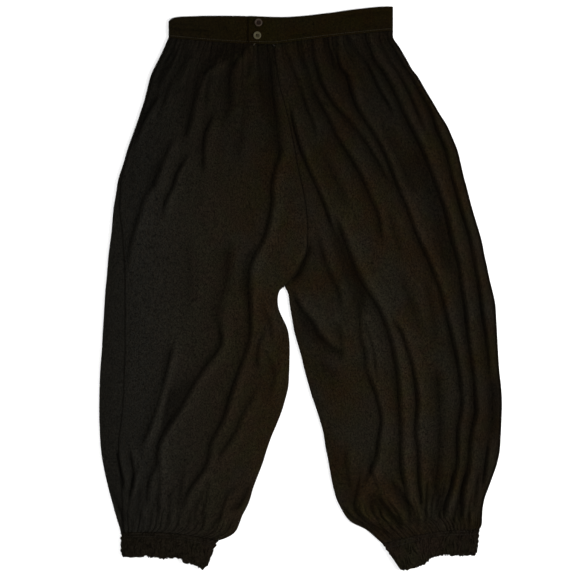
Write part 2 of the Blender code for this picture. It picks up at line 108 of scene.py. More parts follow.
# Outlines of the legs: x, y, from the waist to the cuff
LEFT_OUTER = (
    (-211, 400), (-222, 375), (-232, 355), (-240, 337), (-249.5, 300), (-256, 280), (-262, 262),
    (-270, 240), (-277, 220), (-283, 199), (-291, 174), (-295, 150), (-299, 126), (-302, 90),
    (-306, 60), (-308, 39), (-310, 14), (-312, -6), (-314, -38), (-316, -70), (-317.6, -100),
    (-320, -130), (-321.3, -162), (-321.7, -200), (-320.8, -230), (-319, -258), (-315, -284),
    (-309, -312), (-301, -342), (-295, -364), (-290, -380), (-287, -391),
)
LEFT_INNER = (
    (-43, 389), (-41, 370), (-38, 350), (-33, 320), (-25, 291), (-16, 254), (-9.6, 222), (-3, 185),
    (5, 150), (10.4, 110), (10.4, 66), (4, 39), (-7, 22), (-17, 12.5), (-25, 3), (-33, -4),
    (-36.2, -16), (-35, -32), (-30, -45), (-24, -57), (-19.5, -70), (-17.3, -88), (-17.2, -110),
    (-18, -139), (-19.5, -159), (-25, -181), (-30.5, -199), (-38, -218), (-46.5, -238), (-53.5, -258),
    (-59, -276), (-64.5, -291), (-70, -305), (-75.5, -320), (-80, -336), (-85.5, -350), (-92.5, -363),
    (-97, -375), (-102, -387), (-110, -395), (-121, -400.5), (-135, -405),
)
RIGHT_OUTER = (
    (148, 411), (148.5, 399), (158, 385), (168, 368), (178, 350), (188, 337), (199, 318), (211, 298),
    (222, 279), (234, 260), (243, 240), (251, 220), (256, 200), (261, 178), (267, 156), (272, 136),
    (278, 115), (285, 92), (290, 74), (294, 53), (298, 35), (302.5, 13), (308, -9), (311.5, -27),
    (313, -50), (314.4, -75), (316, -105), (318, -134), (320.6, -157), (322, -182), (321.4, -208),
    (320, -238), (318.5, -260), (313.5, -283), (307.5, -300), (301, -318), (295, -334), (291.5, -350),
    (290.4, -366), (289.6, -378), (286, -386),
)
RIGHT_INNER = LEFT_INNER[:15] + (
    (-20, -8), (-17.5, -26), (-13.5, -50), (-10, -70), (-4, -91), (1.6, -111), (6, -130), (11, -148),
    (17.6, -171), (25, -193), (31, -212), (36, -230), (40, -255), (44, -275), (48, -298), (52, -318),
    (57, -336), (64, -351), (73, -366), (82, -375), (94, -380.5), (104, -385.5), (114, -393.5), (131, -409),
)

# Sections across a leg, from the waist to the cuff: outer y, inner y, back panel turned over the edge, bow
LEFT_SECTIONS = (
    (400, 389, 3.5, -2.0), (375, 366, 3.5, -1.0), (337, 336, 3.5, 0.0), (300, 299, 3.5, 0.0),
    (262, 262, 3.5, 0.0), (220, 221, 3.5, 0.0), (174, 174, 4.5, 0.0), (126, 126, 10.0, 0.0),
    (85, 86, 18.5, 0.0), (50, 50, 25.5, 0.0), (20, 20, 29.5, 0.0), (-6, -6, 32.0, 0.0),
    (-40, -40, 34.5, 0.0), (-75, -75, 36.5, 0.0), (-110, -110, 38.5, 0.0), (-155, -155, 39.5, 0.0),
    (-200, -200, 37.5, 0.0), (-247, -247, 30.0, 0.0), (-290, -290, 26.5, 0.0), (-333, -333, 19.0, 0.0),
    (-367, -369, 9.0, 2.0), (-383, -393, 5.0, 5.0), (-391, -404, 3.5, 6.0),
)
RIGHT_SECTIONS = (
    (411, 389, 3.5, 1.5), (390, 366, 3.5, 1.0), (346, 336, 3.5, 0.0), (305, 299, 3.5, 0.0),
    (265, 262, 3.5, 0.0), (222, 221, 3.5, 0.0), (174, 174, 3.5, 0.0), (126, 126, 3.5, 0.0),
    (85, 86, 3.5, 0.0), (50, 50, 3.5, 0.0), (20, 20, 3.5, 0.0), (-6, -6, 3.5, 0.0),
    (-40, -40, 3.5, 0.0), (-75, -75, 3.5, 0.0), (-110, -110, 3.5, 0.0), (-155, -155, 3.5, 0.0),
    (-200, -200, 3.5, 0.0), (-247, -247, 3.5, 0.0), (-290, -290, 3.5, 0.0), (-325, -325, 3.5, 0.0),
    (-352, -354, 3.5, 2.0), (-374, -383, 3.5, 5.0), (-386, -409, 3.5, 7.0),
)

# Height of the top layer above the floor, away from the edges: y, height
LOFT = (
    (-450, 5.0), (-392, 5.6), (-380, 8.6), (-360, 11.0), (-320, 12.5), (-250, 12.5), (-150, 11.5),
    (0, 10.5), (200, 9.5), (330, 8.0), (372, 6.5), (392, 4.6), (450, 4.5),
)

# The main creases: depth, width on the left, width on the right, ridge beside it (on the right when
# positive, on the left when negative), points down its valley
CREASES_LEFT = (
    (2.6, 6.0, 3.5, 0.8, (
        (-197, 418), (-200, 396), (-203, 372), (-206, 364), (-217, 346), (-225, 329), (-229, 312),
    )),
    (4.8, 7.0, 3.0, 1.4, ((-226, 316), (-231, 301), (-241, 285), (-251, 267), (-260, 246), (-268, 222))),
    (2.6, 7.0, 3.5, 0.9, (
        (-174, 416), (-179, 394), (-184, 370), (-187, 360), (-199, 339), (-211, 318), (-219, 295),
        (-230, 270),
    )),
    (4.4, 6.0, 5.0, 1.3, ((-160, 350), (-164, 336), (-170, 307), (-175, 281), (-181, 254), (-190, 230))),
    (2.4, 5.0, 4.0, 0.8, (
        (-133, 396), (-137, 374), (-141, 350), (-145, 339), (-150, 317), (-151, 291), (-152, 272),
    )),
    (4.2, 5.0, 4.0, 1.2, ((-138, 286), (-142, 272), (-152, 250), (-156, 224), (-156, 198), (-160, 176))),
    (3.2, 9.0, 7.0, 0.6, (
        (-109, 412), (-110, 390), (-112, 366), (-113, 352), (-114, 326), (-113, 301), (-117, 280),
        (-128, 250),
    )),
    (3.8, 3.6, 3.0, 1.2, (
        (-82, 388), (-92, 382), (-106, 376), (-120, 367), (-133, 358), (-148, 351), (-162, 334),
    )),
    (3.0, 4.0, 3.4, 0.9, ((-87, 383), (-93, 376), (-104, 362), (-108, 350))),
    (1.3, 10.0, 8.0, 0.1, ((-76, 386), (-94, 378), (-112, 368), (-124, 358))),
    (2.2, 3.4, 3.0, 0.7, ((-80, 386), (-98, 385), (-114, 379), (-132, 367), (-148, 352), (-160, 332))),
    (2.0, 3.4, 3.0, 0.7, ((-106, 388), (-114, 382), (-130, 370), (-150, 346), (-162, 320), (-170, 292))),
    (1.8, 4.0, 3.4, 0.6, ((-170, 384), (-178, 366), (-192, 338), (-202, 312))),
    (2.4, 4.0, 3.5, 0.8, ((-112, 404), (-122, 387), (-127, 381), (-138, 368), (-155, 351), (-168, 330))),
    (1.8, 4.0, 3.5, 0.6, ((-80, 360), (-82, 350), (-85, 338))),
    (2.0, 7.0, 6.0, 0.5, ((-92, 330), (-90, 300), (-93, 262), (-98, 226), (-104, 190))),
    (4.4, 12.0, 7.0, 1.2, (
        (-53, 414), (-52, 394), (-50, 372), (-47, 342), (-44, 301), (-39, 262), (-37, 237), (-34, 214),
        (-38, 200),
    )),
    (5.0, 6.0, 4.0, 1.4, (
        (-35, 236), (-34, 214), (-41, 192), (-47, 163), (-46, 141), (-49, 121), (-54, 96), (-62, 74),
        (-72, 57), (-81, 35), (-83, 14), (-82, -20), (-81, -50), (-82, -77), (-89, -102), (-98, -128),
        (-106, -150), (-114, -176), (-122, -202), (-129, -218), (-138, -234), (-145, -250), (-148, -272),
        (-155, -288), (-166, -304), (-177, -320), (-185, -339), (-190, -360),
    )),
    (2.4, 10.0, 7.0, 0.5, ((-76, 70), (-86, 40), (-88, 10), (-87, -20))),
    (1.8, 3.0, 2.6, 0.5, ((-48, 366), (-49, 354), (-52, 333), (-50, 307), (-46, 284))),
    (4.6, 5.0, 3.2, 1.3, (
        (-176, 220), (-183, 208), (-196, 186), (-204, 163), (-213, 145), (-219, 128), (-223, 108),
    )),
    (3.2, 6.0, 4.0, 1.0, (
        (-200, 250), (-207, 234), (-214, 217), (-226, 189), (-234, 168), (-246, 152), (-252, 140),
        (-258, 118), (-266, 93), (-271, 74), (-276, 46), (-279, 18),
    )),
    (3.2, 8.0, 6.0, 0.6, ((-226, 196), (-233, 178), (-238, 160))),
    (3.0, 10.0, 7.0, 0.8, (
        (-112, 84), (-116, 51), (-117, 20), (-124, -6), (-130, -28), (-134, -46), (-130, -66),
    )),
    (5.0, 6.0, 4.0, 1.5, (
        (-133, -40), (-129, -66), (-127, -84), (-135, -102), (-148, -118), (-164, -141), (-177, -163),
        (-190, -186), (-202, -205), (-215, -224), (-223, -240), (-228, -259), (-231, -282), (-240, -300),
        (-244, -323), (-246, -356),
    )),
    (3.4, 11.0, 6.0, 0.1, ((-172, -138), (-184, -162), (-197, -186), (-208, -206), (-216, -222))),
    (3.0, 4.0, 9.0, -1.0, ((-207, -150), (-209, -163), (-214, -195), (-219, -224), (-224, -242))),
    (3.4, 7.0, 3.4, 1.6, (
        (-201, -76), (-204, -90), (-210, -115), (-217, -144), (-225, -173), (-234, -202), (-242, -224),
        (-252, -247), (-255, -266),
    )),
    (3.0, 5.0, 4.0, 1.1, (
        (-66, -148), (-71, -160), (-82, -182), (-92, -198), (-100, -218), (-108, -234), (-116, -247),
        (-129, -266), (-136, -288),
    )),
    (2.6, 5.0, 4.0, 0.9, ((-57, -64), (-62, -77), (-68, -93), (-70, -115), (-66, -132))),
    (2.2, 4.0, 3.5, 0.9, ((-66, -22), (-62, -32), (-52, -48), (-47, -67), (-48, -86))),
    (2.2, 4.0, 3.5, 0.9, ((-58, -96), (-55, -103), (-48, -117), (-42, -140))),
    (2.0, 6.0, 4.0, 0.7, ((-34, -100), (-38, -130), (-46, -156), (-54, -180))),
    (1.4, 11.0, 9.0, 0.3, ((-184, 96), (-178, 50), (-176, 0), (-182, -48))),
    (4.4, 2.6, 2.0, 1.4, ((-290, -256), (-291, -266), (-287, -285), (-282, -308), (-283, -322))),
    (4.2, 2.8, 2.2, 1.4, (
        (-273, -252), (-271, -261), (-268, -278), (-265.5, -300), (-268, -316), (-274, -342),
    )),
    (2.8, 3.0, 2.4, 1.0, ((-259, -278), (-261, -288), (-265, -302), (-267, -316))),
    (2.4, 4.0, 3.5, 0.9, ((-254, -310), (-257, -330), (-258, -352), (-254, -372))),
    (3.2, 5.0, 4.0, 1.0, (
        (-223, -262), (-225, -282), (-225, -307), (-227, -336), (-227, -356), (-229, -374),
    )),
    (2.2, 5.0, 4.0, 0.8, ((-184, -276), (-187, -288), (-191, -317), (-195, -338), (-196, -360))),
    (3.0, 4.0, 3.0, 1.1, (
        (-97, -312), (-105, -318), (-117, -329), (-124, -349), (-129, -365), (-138, -378), (-146, -390),
    )),
    (3.6, 5.0, 4.0, 1.0, ((-82, -312), (-85, -324), (-94, -342), (-103, -350), (-117, -355))),
    (2.4, 3.5, 3.0, 0.8, ((-155, -318), (-160, -334), (-167, -350), (-170, -382))),
    (2.2, 4.0, 3.0, 0.8, ((-146, -300), (-150, -330), (-156, -360), (-156, -384))),
    (2.0, 4.0, 3.0, 0.8, ((-206, -318), (-209, -340), (-212, -372))),
    (3.0, 3.0, 4.0, -1.3, ((-308, -308), (-304, -324), (-295, -342), (-286, -361), (-283, -376))),
)
CREASES_RIGHT = (
    (4.6, 4.0, 3.0, 1.2, (
        (-20, 300), (-17, 286), (-9, 250), (1, 217), (14, 185), (28, 154), (39, 128), (47, 103), (56, 80),
    )),
    (5.2, 7.0, 4.0, 1.8, (
        (46, 122), (60, 100), (73, 68), (86, 33), (97, 10), (109, -10), (124, -34), (140, -76), (148, -108),
        (153, -140), (156, -182), (158, -227), (158, -272), (161, -300), (167, -325), (174, -352),
        (180, -378),
    )),
    (4.6, 8.0, 6.0, 0.4, ((50, 96), (63, 66), (78, 30), (94, -4), (104, -30))),
    (3.8, 8.0, 7.0, 0.2, ((70, 44), (82, 18), (92, -6), (100, -28), (108, -46))),
    (3.0, 5.0, 4.0, 1.0, ((84, -4), (92, -30), (94, -58), (94, -80), (101, -99), (103, -131), (111, -150))),
    (4.8, 4.6, 3.6, 1.4, (
        (103, -126), (111, -150), (118, -167), (124, -192), (127, -214), (123, -240), (121, -259),
        (117, -276), (108, -297), (97, -318), (88, -342),
    )),
    (2.2, 3.0, 2.6, 0.8, ((98, -44), (103, -58), (110, -80), (115, -100), (119, -130), (121, -150))),
    (1.8, 3.6, 3.0, 0.7, ((-27, 402), (-24, 380), (-20, 368), (-10, 342), (-2, 316))),
    (3.0, 3.6, 3.0, 1.0, ((-4, 326), (1, 310), (10, 285), (20, 259), (23, 240))),
    (1.8, 3.0, 2.6, 0.6, ((1, 412), (2, 390), (4, 366), (9, 352), (14, 335), (18, 320))),
    (4.0, 6.5, 3.6, 1.3, (
        (14, 332), (18, 318), (28, 298), (44, 269), (54, 246), (70, 221), (86, 195), (98, 173), (110, 144),
        (121, 121), (127, 92), (130, 66),
    )),
    (3.8, 6.0, 3.4, 1.3, (
        (16, 418), (18, 396), (20, 372), (23, 358), (34, 323), (54, 291), (76, 266), (95, 243), (114, 214),
        (130, 186), (140, 166),
    )),
    (4.8, 7.0, 3.4, 1.6, (
        (54, 424), (56, 398), (58, 372), (62, 352), (73, 338), (81, 310), (89, 288), (105, 262), (121, 237),
        (137, 205), (153, 163), (169, 125), (185, 83), (201, 48), (214, 16), (222, -6), (230, -38),
        (239, -74), (247, -109), (252, -141), (255, -170), (255, -192), (250, -221), (249, -253),
        (248, -280), (240, -314), (231, -344), (226, -376),
    )),
    (2.4, 12.0, 9.0, 0.3, ((128, 262), (148, 224), (166, 184), (180, 146))),
    (2.6, 4.0, 3.4, 0.8, ((36, 424), (40, 400), (46, 374), (54, 346))),
    (3.4, 4.0, 3.0, 1.1, (
        (70, 426), (76, 402), (79, 398), (89, 378), (102, 361), (115, 336), (127, 311), (139, 292),
        (150, 268),
    )),
    (4.8, 8.0, 3.6, 1.7, (
        (100, 426), (105, 400), (108, 388), (115, 365), (130, 345), (146, 317), (159, 288), (175, 256),
        (191, 224), (204, 192), (217, 157), (230, 121), (239, 80), (249, 44), (255, 3), (259, -20),
        (262, -40), (265, -74), (270, -109), (275, -147), (277, -179), (278, -198), (272, -224),
        (268, -253), (267, -278), (263, -300), (257, -326), (253, -358), (251, -380),
    )),
    (2.8, 16.0, 10.0, 0.2, ((176, 232), (192, 196), (208, 152), (222, 106), (234, 58), (242, 18))),
    (2.8, 4.0, 3.0, 1.0, (
        (115, 428), (121, 404), (124, 398), (134, 374), (153, 346), (169, 317), (182, 288), (192, 262),
        (203, 236),
    )),
    (4.6, 6.0, 3.4, 1.7, (
        (132, 424), (140, 404), (148, 384), (156, 368), (175, 339), (191, 310), (207, 281), (217, 250),
        (230, 221), (239, 182), (249, 147), (258, 115), (268, 83), (274, 51), (281, 16), (286, -19),
        (289, -42), (294, -74), (297, -99), (300, -131), (302, -150),
    )),
    (4.8, 8.0, 9.0, 0.3, ((303, -136), (305, -160), (306, -190), (305, -220), (301, -248))),
    (4.4, 3.6, 3.0, 1.4, ((300, -236), (297, -259), (294, -282), (292, -301), (288, -322))),
    (4.4, 3.0, 4.2, -1.0, ((14, 74), (12, 61), (3, 42), (-7, 23), (-17, 10))),
    (3.0, 6.0, 6.0, 0.2, ((4, 34), (-4, 22), (-11, 14))),
    (3.4, 4.6, 4.0, 1.0, ((26, 88), (31, 67), (41, 35), (53, 10), (60, -10), (62, -26), (67, -42))),
    (2.4, 8.0, 5.0, 0.6, ((58, -62), (63, -77), (64, -92), (66, -110))),
    (4.8, 8.0, 3.6, 1.6, (
        (-17, 2), (-12, -10), (-1, -31), (12, -48), (20, -58), (28, -74), (44, -90), (62, -102), (74, -110),
    )),
    (3.6, 9.0, 7.0, 0.3, ((2, -44), (12, -56), (22, -70), (34, -84))),
    (2.6, 9.0, 9.0, 0.3, ((30, -116), (42, -130), (54, -142))),
    (4.8, 4.6, 3.6, 1.5, (
        (140, -36), (147, -52), (159, -70), (169, -99), (177, -125), (182, -154), (185, -182), (183, -211),
        (182, -234), (186, -256), (187, -285), (188, -310), (191, -340), (190, -372),
    )),
    (3.4, 8.0, 7.0, 0.8, (
        (214, -116), (218, -154), (221, -202), (221, -240), (218, -280), (213, -323), (209, -359),
    )),
    (2.0, 8.0, 6.0, 0.5, ((196, 20), (206, -20), (212, -60), (216, -96))),
    (2.0, 8.0, 6.0, 0.5, ((150, 40), (165, 5), (180, -36), (194, -80))),
    (2.0, 7.0, 5.0, 0.6, ((30, 226), (48, 190), (64, 156), (76, 122))),
    (2.0, 7.0, 5.0, 0.5, ((136, 128), (148, 92), (160, 56))),
    (2.2, 9.0, 8.0, 0.1, ((108, -328), (117, -340), (127, -354))),
    (2.2, 7.0, 7.0, 0.1, ((138, -350), (149, -362), (159, -371))),
    (3.8, 4.4, 3.0, 1.6, (
        (98, -280), (95, -292), (92, -311), (86, -338), (87, -352), (95, -365), (114, -381), (128, -394),
    )),
    (4.4, 6.0, 4.4, 1.2, ((120, -328), (127, -339), (140, -358), (153, -374), (163, -391))),
    (3.2, 3.0, 3.0, 1.4, ((118, -334), (114, -343), (113, -355), (124, -371), (134, -387), (146, -394))),
    (3.8, 3.4, 2.6, 1.3, ((140, -300), (147, -311), (159, -330), (169, -349), (174, -365), (169, -386))),
    (3.0, 3.0, 2.6, 1.1, ((150, -304), (157, -318), (168, -336), (180, -354), (182, -380))),
    (3.0, 3.4, 2.8, 1.0, ((201, -300), (201, -317), (199, -350), (198, -384))),
    (3.2, 3.6, 3.0, 1.3, ((230, -302), (228, -317), (221, -355), (217, -382))),
    (3.0, 3.4, 3.0, 1.2, ((245, -286), (242, -301), (239, -320), (230, -349), (228, -372))),
    (3.2, 4.0, 3.4, 1.1, ((266, -286), (262, -301), (256, -323), (258, -352), (252, -376))),
    (3.0, 3.6, 3.0, 1.1, ((284, -288), (281, -311), (276, -345), (268, -362), (264, -380))),
    (2.2, 3.6, 3.0, 0.9, ((112, -262), (112, -290), (118, -308), (126, -324))),
    (2.0, 5.0, 4.0, 0.7, ((70, -250), (72, -280), (76, -306), (80, -330))),
    (2.6, 2.2, 1.8, 1.8, ((96, -336), (93, -350), (99, -362), (112, -373), (124, -384), (136, -392))),
    (2.4, 2.0, 1.8, 1.6, ((104, -346), (103, -357), (113, -368), (126, -380), (140, -392))),
    (2.8, 2.4, 1.8, 1.8, ((126, -352), (130, -366), (142, -378), (150, -390))),
    (2.2, 2.0, 1.8, 1.4, ((64, -344), (74, -357), (86, -368), (100, -377), (112, -386))),
    (2.4, 2.0, 1.8, 1.4, ((133, -330), (142, -342), (154, -358), (161, -374), (160, -388))),
    (2.2, 2.2, 1.8, 1.2, ((176, -330), (184, -350), (188, -372), (187, -386))),
    (2.2, 2.0, 1.8, 1.2, ((210, -330), (208, -352), (206, -380))),
    (2.4, 2.4, 2.0, 1.2, ((222, -326), (214, -356), (210, -382))),
    (2.2, 2.2, 1.8, 1.2, ((252, -336), (246, -356), (243, -380))),
    (2.2, 2.4, 2.0, 1.2, ((272, -330), (268, -350), (270, -380))),
)
CREASES = CREASES_LEFT + CREASES_RIGHT

# The waistband: where the centre seam meets it, its two sides, the tab's end, the end hidden under it
CENTRE_X = -43.0
BAND_LEFT_X = -211.0
BAND_RIGHT_X = 148.0
TAB_END_X = -83.0
UNDER_END_X = -50.0

# Where the band is higher than this, it is the front of it and not the back
BAND_FRONT_ABOVE = 3.0

# Top edge of the waistband: x, y
BAND_TOP = (
    (-211, 422.0), (-210, 426.0), (-207, 429.5), (-200, 432.0), (-190, 433.2), (-150, 434.5),
    (-100, 434.5), (-50, 432.5), (-20, 432.5), (0, 434.0), (20, 436.0), (50, 439.5), (80, 444.0),
    (110, 447.5), (125, 449.0), (140, 449.6), (148, 449.2),
)

# How far above its lower edge the waistband is stitched down
STITCH_UP = 3.2

# Creases pressed into the waistband, in the same columns as those of the legs
BAND_CREASES = (
    (2.9, 2.0, 1.8, 0.7, (
        (-211, 415), (-200, 414.5), (-184, 413), (-166, 412.5), (-150, 411), (-136, 408),
    )),
    (1.6, 2.4, 2.0, 0.4, ((-209, 421), (-190, 422), (-166, 420), (-146, 417))),
    (1.6, 3.0, 2.0, 0.4, ((60, 433), (90, 437), (120, 440), (146, 440))),
    (1.6, 2.4, 2.4, 0.4, ((-24, 401), (0, 405), (24, 407), (50, 412))),
    (1.8, 2.0, 2.0, -0.5, ((96, 416), (112, 417.5), (128, 417), (146, 418))),
    (1.4, 4.0, 3.0, 0.4, ((-128, 424), (-118, 414), (-110, 404))),
)

# Hems of the cuffs: share of the way from the outer end, x, y
HEM_LEFT = (
    (0.0, -287.0, -419.0), (0.03, -284.0, -426.0), (0.08, -278.0, -430.2), (0.16, -266.0, -430.8),
    (0.27, -246.0, -428.2), (0.38, -231.0, -430.5), (0.48, -216.0, -433.0), (0.58, -202.0, -431.0),
    (0.65, -190.5, -433.0), (0.7, -186.0, -438.6), (0.76, -177.0, -440.5), (0.84, -164.0, -445.6),
    (0.91, -155.0, -448.4), (0.96, -149.0, -444.5), (0.985, -145.5, -436.0), (1.0, -145.0, -426.0),
)
HEM_RIGHT = (
    (0.0, 283.0, -412.0), (0.03, 281.0, -421.0), (0.07, 277.0, -427.0), (0.14, 266.0, -428.4),
    (0.28, 239.0, -427.0), (0.37, 229.0, -425.8), (0.44, 221.0, -428.0), (0.52, 211.0, -431.2),
    (0.6, 201.5, -436.5), (0.65, 199.0, -441.8), (0.72, 189.0, -445.2), (0.8, 179.0, -449.0),
    (0.88, 167.0, -450.2), (0.94, 160.0, -449.6), (0.98, 153.5, -442.0), (1.0, 147.0, -430.0),
)

# Profile of a button: distance from the middle, height
BUTTON_PROFILE = (
    (0.0, 0.0), (4.6, 0.0), (5.5, 0.35), (6.05, 0.9), (6.2, 1.35), (6.05, 1.85), (5.6, 2.25),
    (5.0, 2.4), (4.45, 2.3), (4.0, 1.95), (3.6, 1.6), (3.0, 1.42), (2.0, 1.36), (0.0, 1.35),
)
BUTTON_BASE = TAB_LEVEL + BAND / 2.0 + 0.35
BUTTON_STEPS = 64
HOLE_RADIUS = 0.9
HOLE_OUT = 1.85
HOLE_SIDES = 24

# Bar tacks below the tab: name, x, y, lean, thread
BAR_TACKS = (
    ("bar_tack_left", -73.8, 388.4, 0.7, "pale_thread"),
    ("bar_tack_right", -42.5, 387.4, -0.9, "thread"),
)

# The photograph: its middle in the drawing, its width, and the camera's height above the floor
PHOTO_MIDDLE = (-16.8, -3.2)
PHOTO_WIDTH = 928.0
CAMERA_HEIGHT = 2000.0

# Lights, in metres: name, place, what it faces, size, power
LIGHTS = (
    ("key_light", (2.3, 0.1, 1.5), (0.0, 0.0, 0.0), 1.0, 95.0),
    ("fill_light", (-1.8, -0.8, 1.6), (0.0, 0.0, 0.0), 1.4, 22.0),
    ("top_light", (0.0, -0.5, 2.3), (0.0, -0.1, 0.0), 1.8, 26.0),
)


def rows_of(table):
    return np.asarray(table, float)


def smooth(table, places):
    """Rows of a table at places from 0 to 1 along it, on a smooth curve through all of them."""
    rows = rows_of(table)
    at = np.clip(np.asarray(places, float), 0.0, 1.0) * (len(rows) - 1)
    k = np.minimum(at.astype(int), len(rows) - 2)
    t = (at - k)[..., None]
    before = rows[np.maximum(k - 1, 0)]
    start = rows[k]
    end = rows[k + 1]
    after = rows[np.minimum(k + 2, len(rows) - 1)]
    return (
        start
        + t * 0.5 * (end - before)
        + t**2 * (before - 2.5 * start + 2.0 * end - 0.5 * after)
        + t**3 * (1.5 * (start - end) + 0.5 * (after - before))
    )


def drawn(points, spacing):
    """Points on the smooth curve through a few, about as far apart as spacing."""
    rough = rows_of(points)
    length = np.hypot(*np.diff(rough, axis=0).T[:2]).sum()
    return smooth(points, np.linspace(0.0, 1.0, max(4, int(length / spacing))))


def walked(points):
    """How far along a line of points each of them is."""
    return np.concatenate([[0.0], np.cumsum(np.hypot(*np.diff(points, axis=0).T))])


def outline_x(outline, y):
    """Where an outline runs at a height in the drawing."""
    curve = drawn(outline, 2.0)[::-1]
    return np.interp(y, curve[:, 1], curve[:, 0])


def eased(distance, reach):
    """0 at an edge, rising fast and then slowly to 1 at reach."""
    share = np.clip(distance / reach, 0.0, 1.0)
    return share * (2.0 - share)


def rounded(distance, radius):
    """0 at an edge, rising as a quarter of a circle to 1 at radius."""
    share = np.clip(distance / radius, 0.0, 1.0)
    return np.sqrt(1.0 - (1.0 - share) ** 2)


def step_up(value):
    """0 below 0, 1 above 1, and a soft step between."""
    share = np.clip(value, 0.0, 1.0)
    return share * share * (3.0 - 2.0 * share)


def unevenness(x, y, across, along, count, seed):
    """Soft random waves about as wide as across and as long as along, from -1 to 1."""
    draw = np.random.default_rng(seed)
    total = np.zeros_like(x)
    for _ in range(count):
        wide = across * draw.uniform(0.7, 1.6)
        long = along * draw.uniform(0.7, 1.8) * draw.choice((-1.0, 1.0))
        total += np.sin(2.0 * math.pi * (x / wide + y / long) + draw.uniform(0.0, 2.0 * math.pi))
    return total / math.sqrt(count) / 1.5


def creased(x, y, creases):
    """(height, shade) that the creases give at each point: shade is the painted shade, 1 in a valley, and
    below 0 the painted highlight on a ridge.
    """
    height = np.zeros_like(x)
    shade = np.zeros_like(x)
    for depth, left, right, ridge, points in creases:
        curve = drawn(points, CREASE_STEP)
        low = curve.min(0) - CREASE_REACH
        high = curve.max(0) + CREASE_REACH
        near = np.flatnonzero((x > low[0]) & (x < high[0]) & (y > low[1]) & (y < high[1]))
        if not len(near):
            continue
        start = curve[:-1]
        step = np.diff(curve, axis=0)
        lengths = np.hypot(step[:, 0], step[:, 1])
        gone = np.concatenate([[0.0], np.cumsum(lengths)])
        off = np.stack([x[near], y[near]], 1)[:, None] - start
        share = np.clip((off * step).sum(2) / lengths**2, 0.0, 1.0)
        away = off - step * share[..., None]
        distance = np.hypot(away[..., 0], away[..., 1])
        nearest = distance.argmin(1)
        each = np.arange(len(near))
        side = step[nearest, 0] * off[each, nearest, 1] - step[nearest, 1] * off[each, nearest, 0]
        across = distance[each, nearest] * np.where(side < 0.0, -1.0, 1.0)
        along = gone[nearest] + lengths[nearest] * share[each, nearest]
        fade = min(CREASE_FADE, gone[-1] * 0.3)
        taper = step_up((along + 5.0) / fade) * step_up((gone[-1] + 5.0 - along) / fade)
        taper *= 1.0 + 0.15 * np.sin(along / 24.0 + points[0][0])
        wide = np.where(across < 0.0, left, right)
        crisp = 0.2 * min(1.0, abs(ridge))
        soft_dip = np.exp(-((np.abs(across) / (1.12 * wide)) ** 1.7))
        crisp_dip = np.exp(-((across / 2.2) ** 2))
        dip = (1.0 - crisp) * soft_dip + crisp * crisp_dip
        dip *= taper
        beside, behind = (right, left) if ridge > 0.0 else (left, right)
        off_crest = across * math.copysign(1.0, ridge) - 2.0 * beside
        spread = np.where(off_crest < 0.0, 1.1 * beside, 2.6 * beside)
        crest = np.exp(-((off_crest / spread) ** 2))
        crest *= taper
        height[near] += 0.7 * abs(ridge) * crest - 0.9 * depth * dip
        darkest = min(1.0, depth / DEEP_CREASE)
        slope = np.where(across * ridge < 0.0, np.exp(-np.abs(across) / (3.0 * behind)), 0.0)
        slope *= taper * darkest
        height[near] -= 0.9 * slope
        # Painted shade in the valley and on the slope behind it, painted highlight on the crest
        shade[near] += dip * darkest + 0.34 * slope - 0.42 * abs(ridge) * crest
    return height, np.clip(shade, -0.8, 1.0)


def ruched(along, down, pitch, seed):
    """Cloth pinched up on an elastic: (height, painted shade), soft crowns with narrow pinches between
    them.
    """
    sway = 0.9 * unevenness(along, down, across=30.0, along=46.0, count=8, seed=seed)
    sway += 0.45 * unevenness(along, down, across=13.0, along=16.0, count=8, seed=seed + 1)
    crown = np.abs(np.sin(math.pi * (along / pitch + sway)))
    uneven = unevenness(along, down, across=30.0, along=20.0, count=8, seed=seed + 2)
    strength = np.clip(0.62 + 0.75 * uneven, 0.06, 1.4)
    return crown**0.8 * strength, (1.0 - crown) ** 2 * strength


def gathers(u, from_seam, count, seed, deepest, longest):
    """Gathers that run in from a seam, each of its own depth, width, lean and length: (height, painted
    shade in the gathers).
    """
    draw = np.random.default_rng(seed)
    height = np.zeros_like(u)
    painted_shade = np.zeros_like(u)
    for k in range(count):
        centre = (k + 0.5 + draw.uniform(-0.3, 0.3)) / count
        depth = deepest * draw.uniform(0.35, 1.0)
        long = longest * draw.uniform(0.25, 1.0) ** 1.3 + 8.0
        wide = draw.uniform(0.12, 0.4) / count
        lean = draw.uniform(-0.5, 0.5) / count / longest
        sway = 0.12 / count * np.sin(from_seam / draw.uniform(9.0, 20.0) + draw.uniform(0.0, 6.0))
        place = (u - centre - lean * from_seam - sway) / (wide * (1.0 + from_seam / longest))
        dip = np.exp(-(place**2)) * step_up(1.0 - from_seam / long)
        height -= depth * dip
        painted_shade = np.maximum(painted_shade, dip * min(1.0, depth / 2.2))
    return height, painted_shade


